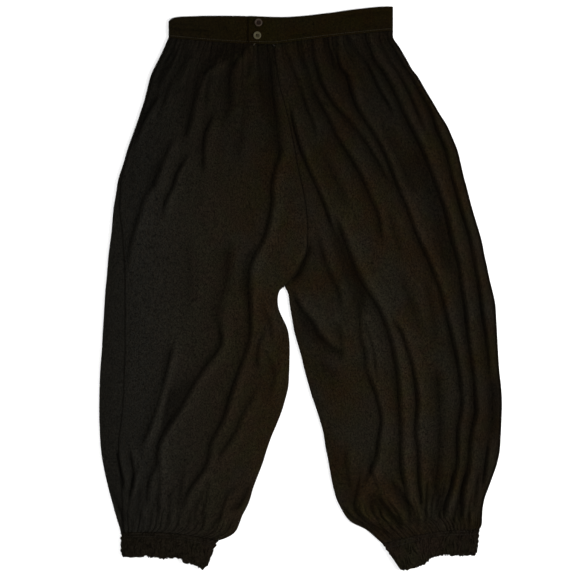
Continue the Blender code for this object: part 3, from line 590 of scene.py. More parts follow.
class Leg:
    """One leg: its outlines and sections, and the columns of its back panel that lie on top."""

    def __init__(self, outer, inner, sections, turned_columns, seed):
        self.outer = outer
        self.inner = inner
        self.sections = sections
        self.turned_columns = turned_columns
        self.seed = seed
        self.outward = math.copysign(1.0, outer[0][0] - inner[0][0])

    def section(self, places):
        """outer x, outer y, inner x, inner y, turned width and bow at places down the leg."""
        outer_y, inner_y, turned, bow = smooth(self.sections, places).T
        return outline_x(self.outer, outer_y), outer_y, outline_x(self.inner, inner_y), inner_y, turned, bow

    def even(self, shares):
        """Places down the leg that are evenly spaced in length for even shares."""
        places = np.linspace(0.0, 1.0, 400)
        outer_x, outer_y, inner_x, inner_y, _, _ = self.section(places)
        middle = np.stack([outer_x + inner_x, outer_y + inner_y], 1) / 2.0
        gone = walked(middle)
        return np.interp(shares, gone / gone[-1], places)

    def across(self, cut, share):
        """The point at a share of the way from the outer edge to the inner edge of a section."""
        outer_x, outer_y, inner_x, inner_y, _, bow = cut
        x = outer_x + (inner_x - outer_x) * share
        y = outer_y + (inner_y - outer_y) * share + bow * 4.0 * share * (1.0 - share)
        return x, y

    def top_level(self, cut, x, y, extra):
        """Height of the upper layer, and the painted shade of the creases at each point."""
        outer_x, outer_y, inner_x, inner_y, _, _ = cut
        curl = (EDGE_LEVEL - BACK_LEVEL) / 2.0 + GAUZE / 2.0
        from_outer = np.abs(x - outer_x) - curl
        beside_crotch = np.hypot(x - CROTCH[0], np.maximum(0.0, y - CROTCH[1]))
        from_inner = np.where(inner_y > CROTCH[1], beside_crotch, np.abs(x - inner_x))
        loft = np.interp(y, *rows_of(LOFT).T)
        level = INNER_EDGE_LEVEL + (EDGE_LEVEL - INNER_EDGE_LEVEL) * (
            0.45 * rounded(from_inner, 3.0) + 0.55 * eased(from_inner, 22.0)
        )
        level = level + (loft - EDGE_LEVEL) * eased(from_outer, EDGE_REACH) * eased(from_inner, EDGE_REACH)
        crease, painted_shade = creased(x, y, CREASES)
        inside = eased(from_inner, 16.0) * (0.2 + 0.8 * eased(from_outer, 10.0))
        slack = np.clip((loft - 4.3) / 3.0, 0.0, 1.0)
        soft = 0.6 * unevenness(x, y, across=62.0, along=150.0, count=12, seed=31)
        soft += 0.16 * unevenness(x, y, across=21.0, along=80.0, count=16, seed=32)
        fine = 0.1 * unevenness(x, y, across=8.0, along=24.0, count=18, seed=33)
        level = level + inside * (slack * (crease + soft) + extra) + fine * eased(from_inner, 6.0)
        return TOP_LOWEST + 0.4 * np.logaddexp(0.0, (level - TOP_LOWEST) / 0.4), painted_shade * inside


def from_ends(leg, cut, x, y):
    """Distances of points from the waist seam and from the cuff seam."""
    first = leg.section(np.array([0.0]))
    last = leg.section(np.array([1.0]))
    share = np.clip((x - cut[0]) / (cut[2] - cut[0]), 0.0, 1.0)
    return leg.across(first, share)[1] - y, y - leg.across(last, share)[1]


def parted(y, v):
    """The first and the last row of a panel drawn back from the pieces that they are sewn to."""
    return y - np.where(v <= 0.0, END_GAP / 2.0, 0.0) + np.where(v >= 1.0, END_GAP / 2.0, 0.0)


def front_surface(leg):
    """A front panel: u from the side seam to the inner edge, v from the waist to the cuff."""

    def surface(u, v):
        cut = leg.section(leg.even(v))
        width = np.abs(cut[2] - cut[0])
        first = (cut[4] + SEAM_GAP) / width
        last = 1.0 - 0.5 * SEAM_GAP / width
        share = first + (last - first) * u
        x, y = leg.across(cut, share)
        from_waist, from_cuff = from_ends(leg, cut, x, y)
        waist, waist_gather_shade = gathers(u, from_waist, count=23, seed=leg.seed, deepest=2.1, longest=150.0)
        cuff, cuff_gather_shade = gathers(u, from_cuff, count=26, seed=leg.seed + 1, deepest=2.5, longest=96.0)
        small = 0.45 * unevenness(u * 300.0, from_cuff, across=7.0, along=60.0, count=8, seed=leg.seed + 2)
        pressed = step_up(1.0 - from_cuff / 46.0) + 0.3 * step_up(1.0 - from_waist / 40.0)
        z, painted_shade = leg.top_level(cut, x, y, waist + cuff + small * pressed)
        above_crotch = cut[3] > CROTCH[1]
        seams = np.exp(-((u * width / 1.3) ** 2))
        seams = seams + np.where(above_crotch, np.exp(-(((1.0 - u) * width / 1.3) ** 2)), 0.0)
        ends = np.exp(-((from_waist / 1.6) ** 2)) + np.exp(-((from_cuff / 2.0) ** 2))
        z = z - 0.7 * seams - 0.5 * ends
        z = np.maximum(z, FRONT_LOWEST)
        y = parted(y, v)
        # Painted shade in the crease valleys, the gathers and along the seams, painted highlight on crests
        shade = np.clip(painted_shade + 0.8 * waist_gather_shade + 0.75 * cuff_gather_shade + 0.9 * seams, -0.8, 1.0)
        upward = np.stack([np.zeros_like(x), np.zeros_like(x), np.ones_like(x)], 1)
        return np.stack([x, y, z], 1), upward, shade

    return surface


def from_top(leg, v):
    """Rough distance down the garment from the waist seam."""
    return v * abs(leg.outer[0][1] - leg.outer[-1][1])


def back_surface(leg):
    """A back panel, u from the side seam on top round the outer edge and across the floor; its columns."""
    turned = leg.turned_columns
    curled = BACK_CURL_COLUMNS
    flat = BACK_FLOOR_COLUMNS
    columns = turned + curled + flat

    def surface(u, v):
        cut = leg.section(leg.even(v))
        width = np.abs(cut[2] - cut[0])
        radius = (EDGE_LEVEL - BACK_LEVEL) / 2.0
        start = GAUZE / 2.0 + radius
        column = u * columns
        on_top = column <= turned
        on_floor = column >= turned + curled
        over = cut[4] + (start - cut[4]) * column / turned
        angle = math.pi * np.clip((column - turned) / curled, 0.0, 1.0)
        beyond = leg.outward * -2.0 * step_up((cut[3] - CROTCH[1] - 2.5) / 7.0)
        beyond = beyond * step_up(from_top(leg, v) / 30.0)
        under = start + (width - start - 0.15 + beyond) * (column - turned - curled) / flat
        inward = np.where(on_top, over, np.where(on_floor, under, start - radius * np.sin(angle)))
        x, y = leg.across(cut, inward / width)
        from_waist, from_cuff = from_ends(leg, cut, x, y)
        small = 0.4 * unevenness(y, x, across=9.0, along=60.0, count=8, seed=leg.seed + 5)
        top, painted_shade = leg.top_level(cut, x, y, small * step_up(1.0 - from_cuff / 60.0))
        seam = np.exp(-(((inward - cut[4]) / 1.3) ** 2)) * on_top
        waist, _ = gathers(u, from_waist, count=30, seed=leg.seed + 3, deepest=0.9, longest=80.0)
        cuff, _ = gathers(u, from_cuff, count=30, seed=leg.seed + 4, deepest=0.9, longest=80.0)
        inside = eased(width - inward - 14.0, 30.0)
        lift = np.clip(0.95 + waist + cuff, 0.0, 0.95) * inside
        near_end = np.maximum(step_up(1.0 - from_waist / 70.0), step_up(1.0 - from_cuff / 70.0))
        floor = BACK_LEVEL + 0.75 * lift * near_end
        curl = BACK_LEVEL + radius * (1.0 + np.cos(angle))
        z = np.where(on_top, top - 0.7 * seam, np.where(on_floor, floor, curl))
        y = parted(y, v)
        sideways = leg.outward * np.sin(angle)
        way = np.stack([sideways, np.zeros_like(x), np.cos(angle)], 1)
        # Third value: painted shade in the creases of the turned part and along its seam
        return np.stack([x, y, z], 1), way, np.clip(painted_shade * on_top + seam, -0.8, 1.0)

    return surface, columns


def waist_seam(legs, x):
    """How far up the garment the seam under the waistband lies."""
    heights = []
    for leg in legs:
        cut = leg.section(np.array([0.0]))
        share = (x - cut[0]) / (cut[2] - cut[0])
        heights.append(leg.across(cut, share)[1])
    return np.where(x > CENTRE_X, heights[1], heights[0])


def band_path():
    """The waistband seen from its end, evenly walked from the tab round the right side: x, height."""
    radius = (BAND_FRONT_LEVEL - BAND_BACK_LEVEL) / 2.0
    middle = (BAND_FRONT_LEVEL + BAND_BACK_LEVEL) / 2.0
    right = BAND_RIGHT_X - radius - BAND / 2.0
    left = BAND_LEFT_X + radius + BAND / 2.0
    turn = np.linspace(0.0, math.pi, 13)
    walk = [
        [(TAB_END_X, TAB_LEVEL - 0.1), (-76.0, TAB_LEVEL), (-60.0, TAB_LEVEL), (-49.0, TAB_LEVEL - 0.1)],
        [(-42.0, TAB_LEVEL - 0.8), (-34.0, BAND_FRONT_LEVEL + 0.4), (-24.0, BAND_FRONT_LEVEL)],
        np.stack([right + radius * np.sin(turn), middle + radius * np.cos(turn)], 1),
        np.stack([left - radius * np.sin(turn), middle - radius * np.cos(turn)], 1),
        [(UNDER_END_X, BAND_FRONT_LEVEL)],
    ]
    corners = np.concatenate([rows_of(part) for part in walk])
    gone = walked(corners)
    even = np.linspace(0.0, gone[-1], 900)
    path = np.stack([np.interp(even, gone, corners[:, 0]), np.interp(even, gone, corners[:, 1])], 1)
    return path, gone[-1]


def band_surface(legs):
    """The waistband and its length: u from the tab end round to the under end, v from seam to top."""
    path, length = band_path()
    slope = np.gradient(path, axis=0)
    slope /= np.hypot(slope[:, 0], slope[:, 1])[:, None]
    shares = np.linspace(0.0, 1.0, len(path))
    low = waist_seam(legs, path[:, 0]) + END_GAP / 2.0
    high = np.interp(path[:, 0], *rows_of(BAND_TOP).T)
    inset = 0.6 * step_up((2.6 - path[:, 1]) / 1.2)

    def surface(u, v):
        x = np.interp(u, shares, path[:, 0])
        level = np.interp(u, shares, path[:, 1])
        tangent_x = np.interp(u, shares, slope[:, 0])
        tangent_z = np.interp(u, shares, slope[:, 1])
        bottom = np.interp(u, shares, low)
        top = np.interp(u, shares, high - inset)
        y = bottom + (top - bottom) * v
        up = y - bottom
        down = top - y
        outside = np.where(level > BAND_FRONT_ABOVE, 1.0, 0.25)
        stitch_line = np.exp(-(((up - STITCH_UP) / 1.0) ** 2))
        top_line = 0.5 * np.exp(-(((down - 2.4) / 0.9) ** 2))
        fold = np.exp(-((up / 0.9) ** 2)) + np.exp(-((down / 0.9) ** 2))
        pucker = np.sin(2.0 * math.pi * x / 5.2 + 1.3 * np.sin(x / 17.0))
        pucker *= np.exp(-(((up - STITCH_UP) / 4.5) ** 2))
        soft = 0.32 * unevenness(x, y * 2.4, across=46.0, along=70.0, count=10, seed=41)
        soft += 0.1 * unevenness(x, y * 2.0, across=9.0, along=22.0, count=12, seed=42)
        slack, painted_shade = creased(x, y, BAND_CREASES)
        relief = 0.4 * slack + soft + 0.13 * pucker - 0.3 * (stitch_line + top_line) - 0.35 * fold
        z = level + outside * relief
        z = np.where(level < 1.2, level, z)
        way = np.stack([-tangent_z, np.zeros_like(x), tangent_x], 1)
        # Third value: painted shade along the stitch line, below the top edge and in the band's creases
        return np.stack([x, y, z], 1), way, np.clip(0.55 * stitch_line + 0.3 * top_line + painted_shade, 0.0, 1.0)

    return surface, length


def cuff_surface(leg, hem, seed):
    """A cuff: u once round the flattened tube from its outer end, v from its seam to its hem."""
    seam = [part[0] for part in leg.section(np.array([1.0]))]
    radius = (CASING_FRONT_LEVEL - CASING_BACK_LEVEL) / 2.0
    length = abs(seam[2] - seam[0])
    inset = (CASING / 2.0 + radius) / length
    middle = (CASING_FRONT_LEVEL + CASING_BACK_LEVEL) / 2.0
    front = CUFF_FRONT_SHARE
    turned = CUFF_TURN_SHARE
    back = CUFF_BACK_SHARE

    def surface(u, v):
        on_front = u <= front
        inner_turn = (u > front) & (u < front + turned)
        on_back = (u >= front + turned) & (u <= front + turned + back)
        step = np.clip(u / front, 0.0, 1.0)
        back_step = np.clip((u - front - turned) / back, 0.0, 1.0)
        angle_in = math.pi * np.clip((u - front) / turned, 0.0, 1.0)
        angle_out = math.pi * np.clip((u - front - turned - back) / turned, 0.0, 1.0)
        share = inset + (1.0 - 2.0 * inset) * step
        share = np.where(inner_turn, 1.0 - inset + radius / length * np.sin(angle_in), share)
        share = np.where(on_back, 1.0 - inset - (1.0 - 2.0 * inset) * back_step, share)
        outer_turn = ~(on_front | inner_turn | on_back)
        share = np.where(outer_turn, inset - radius / length * np.sin(angle_out), share)
        level = np.where(on_front, CASING_FRONT_LEVEL, CASING_BACK_LEVEL)
        level = np.where(inner_turn, middle + radius * np.cos(angle_in), level)
        level = np.where(outer_turn, middle - radius * np.cos(angle_out), level)
        top_x, top_y = leg.across(seam, share)
        top_y = top_y - END_GAP / 2.0
        hem_x = np.interp(share, rows_of(hem)[:, 0], rows_of(hem)[:, 1])
        hem_y = np.interp(share, rows_of(hem)[:, 0], rows_of(hem)[:, 2])
        down = v * CUFF_DEPTH
        large, deep = ruched(step * length, down, WIDE_PINCH, seed)
        finer, narrow = ruched(step * length, down, NARROW_PINCH, seed + 20)
        small = unevenness(share * length, v * 60.0, across=8.0, along=30.0, count=10, seed=seed + 1)
        # Painted shade in the pinches of the ruching
        painted_shade = 1.05 * deep + 0.34 * narrow
        rows_down = sum(np.exp(-(((down - row) / 1.2) ** 2)) for row in CUFF_STITCH_ROWS)
        full = np.sin(math.pi * np.clip(v * 1.06 - 0.1, 0.0, 1.0)) * 1.7
        pinched = 1.0 - 0.55 * np.clip(rows_down, 0.0, 1.0)
        lift = (2.1 * large + 0.7 * finer + 0.25 * small - 0.7) * pinched + full - 0.7 * rows_down
        lift = lift - 1.0 * np.exp(-(((1.0 - v) * CUFF_DEPTH / 1.6) ** 2))
        near_edge = step_up(np.minimum(step, 1.0 - step) * length / 9.0)
        z = level + np.where(on_front, lift * near_edge, 0.0)
        near_back_edge = step_up(np.minimum(back_step, 1.0 - back_step) * 8.0)
        z = z + np.where(on_back, 0.5 * np.abs(small) * near_back_edge, 0.0)
        round_cuff = share * length
        scallop = 1.1 * unevenness(round_cuff, level * 3.0, across=12.0, along=40.0, count=8, seed=seed + 3)
        scallop -= 2.6 * (large - 0.5)
        scallop += 0.7 * unevenness(round_cuff, level * 2.0, across=4.4, along=30.0, count=8, seed=seed + 4)
        hem_y = hem_y + scallop * step_up(v)
        x = top_x + (hem_x - top_x) * v
        y = top_y + (hem_y - top_y) * v
        bulges = unevenness(down, np.zeros_like(v), across=9.0, along=50.0, count=8, seed=seed + 6)
        to_sides = np.clip(1.0 - share, 0.0, 1.0) ** 6 - np.clip(share, 0.0, 1.0) ** 6
        x = x + leg.outward * 1.1 * bulges * to_sides
        turn = np.where(on_back, math.pi, math.pi + angle_out)
        turn = np.where(on_front, 0.0, np.where(inner_turn, angle_in, turn))
        way = np.stack([-leg.outward * np.sin(turn), np.zeros_like(x), np.cos(turn)], 1)
        # depth: painted shade in the front's pinches and along the stitch rows
        depth = np.clip(painted_shade * on_front + 0.6 * rows_down, 0.0, 1.0)
        return np.stack([x, y, np.maximum(z, CASING / 2.0)], 1), way, depth

    return surface


def placed(points):
    """Millimetres of the drawing as metres of the frame."""
    return (np.asarray(points, float) + SHIFT) * MM


def shift_to_frame():
    """From the drawing to the frame, in millimetres, found by where the lower button lies."""
    low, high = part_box("button_lower")
    x, y = BUTTONS["button_lower"][:2]
    return np.array([(low[0] + high[0]) / 2.0 / MM - x, (low[1] + high[1]) / 2.0 / MM - y, 0.0])


SHIFT = shift_to_frame()


def cloth(name, surface, grid, wall, size, joined=False):
    """A cloth piece: a grid drawn out into two layers, laid on the two faces of a wall.

    size is the width and length in millimetres that the weave follows; a joined piece is a tube.
    """
    shell = bmesh.new()
    weave = shell.loops.layers.uv.new("weave")
    bmesh.ops.create_grid(shell, x_segments=grid[0], y_segments=grid[1], size=0.5)
    drawn_out = bmesh.ops.extrude_face_region(shell, geom=list(shell.faces))
    upper = [item for item in drawn_out["geom"] if isinstance(item, bmesh.types.BMVert)]
    bmesh.ops.translate(shell, verts=upper, vec=(0.0, 0.0, 1.0))
    if joined:
        ends = [face for face in shell.faces if all(abs(vert.co.x) > 0.4999 for vert in face.verts)]
        bmesh.ops.delete(shell, geom=ends, context="FACES_ONLY")
    for face in shell.faces:
        face.smooth = True
        for loop in face.loops:
            at = loop.vert.co
            loop[weave].uv = ((at.x + 0.5) * size[0] * MM, (at.y + 0.5) * size[1] * MM)
    mesh = bpy.data.meshes.new(name)
    shell.to_mesh(mesh)
    shell.free()
    flat = np.empty(len(mesh.vertices) * 3)
    mesh.vertices.foreach_get("co", flat)
    flat = flat.reshape(-1, 3)
    middle, way, painted_shade = surface(np.clip(flat[:, 0] + 0.5, 0.0, 1.0), np.clip(0.5 - flat[:, 1], 0.0, 1.0))
    points = placed(middle + way * (wall * (flat[:, 2:] - 0.5)))
    mesh.vertices.foreach_set("co", points.ravel())
    # Painted shade of the creases, gathers, pinches and seams, with painted highlight on crests, kept for
    # the material
    depth = mesh.attributes.new("painted_shade", "FLOAT", "POINT")
    depth.data.foreach_set("value", painted_shade)
    tidy = bmesh.new()
    tidy.from_mesh(mesh)
    if joined:
        bmesh.ops.remove_doubles(tidy, verts=tidy.verts, dist=0.00001)
    bmesh.ops.recalc_face_normals(tidy, faces=tidy.faces)
    if tidy.calc_volume(signed=True) < 0.0:
        bmesh.ops.reverse_faces(tidy, faces=tidy.faces)
    tidy.to_mesh(mesh)
    tidy.free()
    return linked(name, mesh)


def linked(name, mesh):
    obj = bpy.data.objects.new(name, mesh)
    bpy.context.scene.collection.objects.link(obj)
    return obj


def surface_points(surface, u, v, lift):
    """Points on the upper face of a cloth piece, lifted off it."""
    middle, way, _ = surface(np.asarray(u, float), np.asarray(v, float))
    return middle + way * lift


def sewn_along(name, runs, pitch, length, thickness):
    """Sewing thread: small rounded stitches, one after another along each run of points."""
    thread = bmesh.new()
    for run in runs:
        gone = np.concatenate([[0.0], np.cumsum(np.linalg.norm(np.diff(run, axis=0), axis=1))])
        for at in np.arange(pitch / 2.0, gone[-1] - pitch / 2.0, pitch):
            ends = [
                np.array([np.interp(at + half, gone, run[:, axis]) for axis in range(3)])
                for half in (-length / 2.0, length / 2.0)
            ]
            add_strand(thread, placed(ends[0]), placed(ends[1]), thickness * MM)
    return finished(name, thread)


def add_strand(thread, start, end, thickness):
    """One stitch: a small ball drawn out between two points."""
    along = Vector(end - start)
    turn = along.to_track_quat("X", "Z").to_matrix().to_4x4()
    size = Matrix.Diagonal((along.length / 2.0 + thickness * 0.3, thickness * 0.62, thickness * 0.5, 1.0))
    place = Matrix.Translation(Vector((start + end) / 2.0)) @ turn @ size
    bmesh.ops.create_icosphere(thread, subdivisions=2, radius=1.0, matrix=place)


def finished(name, shape, smooth_faces=True):
    bmesh.ops.recalc_face_normals(shape, faces=shape.faces)
    for face in shape.faces:
        face.smooth = smooth_faces
    mesh = bpy.data.meshes.new(name)
    shape.to_mesh(mesh)
    shape.free()
    return linked(name, mesh)


def button(name, centre):
    """A turned button with four thread holes cut through its dished middle, which carries painted shade."""
    x, y, turn, dish_shade_reach = centre
    shape = bmesh.new()
    profile = [shape.verts.new((r * MM, 0.0, z * MM)) for r, z in smooth_profile(BUTTON_PROFILE)]
    edges = [shape.edges.new(pair) for pair in zip(profile, profile[1:])]
    bmesh.ops.spin(
        shape, geom=profile + edges, cent=(0, 0, 0), axis=(0, 0, 1), angle=2.0 * math.pi,
        steps=BUTTON_STEPS, use_merge=True,
    )
    bmesh.ops.remove_doubles(shape, verts=shape.verts, dist=0.00001)
    turned = Matrix.Rotation(math.radians(turn), 4, "Z")
    place = Matrix.Translation(Vector(placed((x, y, BUTTON_BASE)))) @ turned
    bmesh.ops.transform(shape, matrix=place, verts=shape.verts)
    disc = finished(name + "_turned", shape)
    drill = bmesh.new()
    for k in range(4):
        angle = math.pi * (0.25 + 0.5 * k)
        hole = Matrix.Translation((HOLE_OUT * MM * math.cos(angle), HOLE_OUT * MM * math.sin(angle), 0.001))
        bmesh.ops.create_cone(
            drill, cap_ends=True, segments=HOLE_SIDES, radius1=HOLE_RADIUS * MM, radius2=HOLE_RADIUS * MM,
            depth=0.008, matrix=place @ hole,
        )
    cutter = finished(name + "_drill", drill, False)
    cut = disc.modifiers.new("holes", "BOOLEAN")
    cut.operation = "DIFFERENCE"
    cut.solver = "EXACT"
    cut.object = cutter
    bpy.context.view_layer.update()
    graph = bpy.context.evaluated_depsgraph_get()
    mesh = bpy.data.meshes.new_from_object(disc.evaluated_get(graph))
    mesh.name = name
    for used in (disc, cutter):
        bpy.data.objects.remove(used, do_unlink=True)
    middle = placed((x, y, 0.0)) / MM
    # Painted shade over the button's dish, fading out towards its rim
    dish = mesh.attributes.new("painted_shade", "FLOAT", "POINT")
    for vert in mesh.vertices:
        away = math.hypot(vert.co.x / MM - middle[0], vert.co.y / MM - middle[1])
        dish.data[vert.index].value = min(1.0, max(0.0, (dish_shade_reach - away) / 0.9))
    return linked(name, mesh)


def smooth_profile(points):
    """A button's profile with each step between two points divided once, on a smooth curve."""
    curve = smooth(points, np.linspace(0.0, 1.0, 2 * len(points) - 1))
    curve[:, 0] = np.maximum(curve[:, 0], 0.0)
    return [(float(r), float(z)) for r, z in curve]


def button_thread(name, centre):
    """Two bars of thread across a button's holes, and the shank under it."""
    x, y, turn = centre[:3]
    thread = bmesh.new()
    spin = math.radians(turn)
    half = HOLE_OUT * math.sin(math.pi / 4.0)
    for side in (-1.0, 1.0):
        for strand in range(4):
            across = side * half + (strand - 1.5) * 0.22
            ends = []
            for end in (-1.0, 1.0):
                along = end * (half + 0.25)
                ends.append((
                    x + across * math.cos(spin) - along * math.sin(spin),
                    y + across * math.sin(spin) + along * math.cos(spin),
                    BUTTON_BASE + 1.5 + 0.1 * (strand % 2),
                ))
            add_strand(thread, placed(ends[0]), placed(ends[1]), 0.28 * MM)
        for end in (-1.0, 1.0):
            foot = (
                x + side * half * math.cos(spin) - end * half * math.sin(spin),
                y + side * half * math.sin(spin) + end * half * math.cos(spin),
            )
            add_strand(
                thread, placed((*foot, BUTTON_BASE - 0.4)), placed((*foot, BUTTON_BASE + 1.35)), 0.8 * MM
            )
    return finished(name, thread)


def bar_tack(name, x, y, lean, level):
    """A bar tack: close stitches across two laid threads."""
    tack = bmesh.new()
    for k in range(7):
        up = (k - 3) * 0.58
        middle = np.array([x + up * math.sin(lean), y + up * math.cos(lean), level])
        across = np.array([math.cos(lean), -math.sin(lean) + 0.18, 0.0]) * 0.8
        add_strand(tack, placed(middle - across), placed(middle + across), 0.4 * MM)
    return finished(name, tack)


def node_material(name, roughness, sheen=0.0, specular=0.1):
    made = bpy.data.materials.new(name)
    made.use_nodes = True
    shader = made.node_tree.nodes["Principled BSDF"]
    shader.inputs["Roughness"].default_value = roughness
    shader.inputs["Specular IOR Level"].default_value = specular
    shader.inputs["Sheen Weight"].default_value = sheen
    shader.inputs["Sheen Roughness"].default_value = 0.5
    return made, made.node_tree, shader


def add(tree, kind, **settings):
    node = tree.nodes.new(kind)
    for key, value in settings.items():
        if key in node.inputs:
            node.inputs[key].default_value = value
        else:
            setattr(node, key, value)
    return node


def mix_colours(tree, factor, first, second, blend="MIX"):
    node = tree.nodes.new("ShaderNodeMix")
    node.data_type = "RGBA"
    node.blend_type = blend
    for socket, value in ((node.inputs[0], factor), (node.inputs[6], first), (node.inputs[7], second)):
        if isinstance(value, bpy.types.NodeSocket):
            tree.links.new(value, socket)
        else:
            socket.default_value = value
    return node.outputs[2]


def ranged(tree, value, low, high, to_low=0.0, to_high=1.0):
    node = tree.nodes.new("ShaderNodeMapRange")
    tree.links.new(value, node.inputs["Value"])
    node.inputs["From Min"].default_value = low
    node.inputs["From Max"].default_value = high
    node.inputs["To Min"].default_value = to_low
    node.inputs["To Max"].default_value = to_high
    return node.outputs["Result"]


def maths(tree, operation, first, second):
    node = tree.nodes.new("ShaderNodeMath")
    node.operation = operation
    for socket, value in zip(node.inputs, (first, second)):
        if isinstance(value, bpy.types.NodeSocket):
            tree.links.new(value, socket)
        else:
            socket.default_value = value
    return node.outputs[0]


def place_in_space(tree):
    return add(tree, "ShaderNodeTexCoord").outputs["Object"]


def texture(tree, kind, at, **settings):
    """A texture node read at a place: its value."""
    node = add(tree, kind, **settings)
    tree.links.new(at, node.inputs["Vector"])
    return node.outputs["Fac"]


def noise(tree, at, **settings):
    return texture(tree, "ShaderNodeTexNoise", at, **settings)


def raise_by(tree, shader, height, strength, distance):
    """Bump on a shader."""
    bump = add(tree, "ShaderNodeBump", Strength=strength, Distance=distance)
    tree.links.new(height, bump.inputs["Height"])
    tree.links.new(bump.outputs["Normal"], shader.inputs["Normal"])


def painted_shade_of(tree):
    """The painted shade stored on a piece: 1 deep in a crease or in a button's dish, below 0 a painted
    highlight on a crest.
    """
    return add(tree, "ShaderNodeAttribute", attribute_name="painted_shade").outputs["Fac"]


def gauze_material(name, warm, cool, faded, thread_pitch, crinkle):
    """Crinkled cotton gauze: weave and crinkle, warm, olive and faded places; painted shade in the crease
    valleys and painted highlight on their crests, painted cool light on the left side, and painted shade
    towards the waist and both outer edges.
    """
    made, tree, shader = node_material(name, 0.95, 0.012, 0.012)
    shader.inputs["Sheen Tint"].default_value = (0.9, 0.75, 0.55, 1.0)
    uv = add(tree, "ShaderNodeUVMap", uv_map="weave").outputs["UV"]
    place = place_in_space(tree)
    patches = noise(tree, place, Scale=11.0, Detail=3.0, Roughness=0.55)
    blotches = noise(tree, place, Scale=24.0, Detail=2.0, Roughness=0.5, Distortion=0.8)
    stretched = add(tree, "ShaderNodeMapping", Scale=(1.0, 0.3, 1.0))
    tree.links.new(uv, stretched.inputs["Vector"])
    lengthwise = stretched.outputs["Vector"]
    crepe = noise(tree, lengthwise, Scale=300.0, Detail=4.0, Roughness=0.65, Distortion=0.6)
    grain = noise(tree, place, Scale=410.0, Detail=3.0, Roughness=0.85)
    warp, weft = (
        texture(
            tree, "ShaderNodeTexWave", uv, bands_direction=direction, wave_profile="SIN",
            Scale=thread_pitch, Distortion=0.5,
        )
        for direction in ("X", "Y")
    )
    woven = maths(tree, "MULTIPLY", warp, weft)
    painted_shade = painted_shade_of(tree)
    where = add(tree, "ShaderNodeSeparateXYZ")
    tree.links.new(place, where.inputs[0])
    x = where.outputs["X"]
    y = where.outputs["Y"]
    # Painted light: the left side paler and cooler, as under a cool light from the left; random cool
    # patches share the mix
    painted_cool_light = ranged(tree, x, -0.25, -0.05, 0.95, 0.0)
    patched = ranged(tree, patches, 0.4, 0.64, 0.0, 0.55)
    olive = (warm[0] * 0.84, warm[1] * 1.22, warm[2] * 0.88, 1.0)
    rusty = ranged(tree, blotches, 0.4, 0.62, 0.0, 0.85)
    cool_light_and_patches = maths(tree, "MAXIMUM", painted_cool_light, patched)
    colour = mix_colours(tree, cool_light_and_patches, mix_colours(tree, rusty, warm, olive), cool)
    ridge = ranged(tree, crepe, 0.42, 0.75, 0.0, 0.5)
    colour = mix_colours(tree, ridge, colour, faded)
    shade = ranged(tree, grain, 0.34, 0.66, 0.22, 1.78)
    # The weave, then painted shade: darker in crease valleys and lighter on crests, darker towards the
    # waist and towards both outer edges
    weave_and_painted_shade = (
        ranged(tree, woven, 0.0, 0.9, 0.7, 1.15),
        ranged(tree, painted_shade, -0.7, 0.95, 1.24, 0.46),
        ranged(tree, y, 0.1, 0.32, 1.0, 0.64),
        ranged(tree, x, 0.19, 0.3, 1.0, 0.66),
        ranged(tree, x, -0.31, -0.22, 0.78, 1.0),
    )
    for factor in weave_and_painted_shade:
        shade = maths(tree, "MULTIPLY", shade, factor)
    toned = add(tree, "ShaderNodeVectorMath", operation="SCALE")
    tree.links.new(colour, toned.inputs[0])
    tree.links.new(shade, toned.inputs["Scale"])
    tree.links.new(toned.outputs["Vector"], shader.inputs["Base Color"])
    relief = maths(tree, "MULTIPLY", crepe, crinkle)
    relief = maths(tree, "ADD", relief, maths(tree, "MULTIPLY", woven, 0.12))
    relief = maths(tree, "ADD", relief, maths(tree, "MULTIPLY", grain, 0.5 * crinkle))
    raise_by(tree, shader, relief, 0.8, 0.0016)
    return made


def thread_material(name, colour):
    """Sewing thread: twisted, and soiled in places."""
    made, tree, shader = node_material(name, 0.7, 0.02, 0.08)
    place = place_in_space(tree)
    twist = texture(
        tree, "ShaderNodeTexWave", place, bands_direction="DIAGONAL", Scale=900.0, Distortion=1.0,
    )
    dark = tuple(value * 0.6 for value in colour[:3]) + (1.0,)
    soiled = tuple(value * 0.45 for value in colour[:3]) + (1.0,)
    wear = noise(tree, place, Scale=42.0, Detail=3.0, Roughness=0.6)
    twisted = mix_colours(tree, twist, dark, colour)
    tinted = mix_colours(tree, ranged(tree, wear, 0.42, 0.58), soiled, twisted)
    tree.links.new(tinted, shader.inputs["Base Color"])
    raise_by(tree, shader, twist, 0.4, 0.0002)
    return made


def button_material(name, body, veil, dish_shade):
    """Moulded button with cloudy veins, a soft gloss and painted shade in its dish."""
    made, tree, shader = node_material(name, 0.28, 0.0, 0.06)
    place = place_in_space(tree)
    veins = noise(tree, place, Scale=260.0, Detail=4.0, Roughness=0.6, Distortion=1.4)
    clouded = mix_colours(tree, ranged(tree, veins, 0.4, 0.66), body, veil)
    tree.links.new(mix_colours(tree, painted_shade_of(tree), clouded, dish_shade), shader.inputs["Base Color"])
    scuffs = noise(tree, place, Scale=1500.0, Detail=2.0)
    tree.links.new(ranged(tree, scuffs, 0.3, 0.8, 0.34, 0.55), shader.inputs["Roughness"])
    raise_by(tree, shader, scuffs, 0.15, 0.0001)
    return made


def floor_material():
    """Plain pale paper."""
    made, tree, shader = node_material("pale_floor", 0.9, 0.0, 0.1)
    tooth = noise(tree, place_in_space(tree), Scale=60.0, Detail=3.0)
    colour = mix_colours(tree, tooth, (0.86, 0.86, 0.86, 1.0), (0.9, 0.9, 0.9, 1.0))
    tree.links.new(colour, shader.inputs["Base Color"])
    return made


def dress(piece, material):
    piece.data.materials.clear()
    piece.data.materials.append(material)
    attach(piece, "root")
    return piece


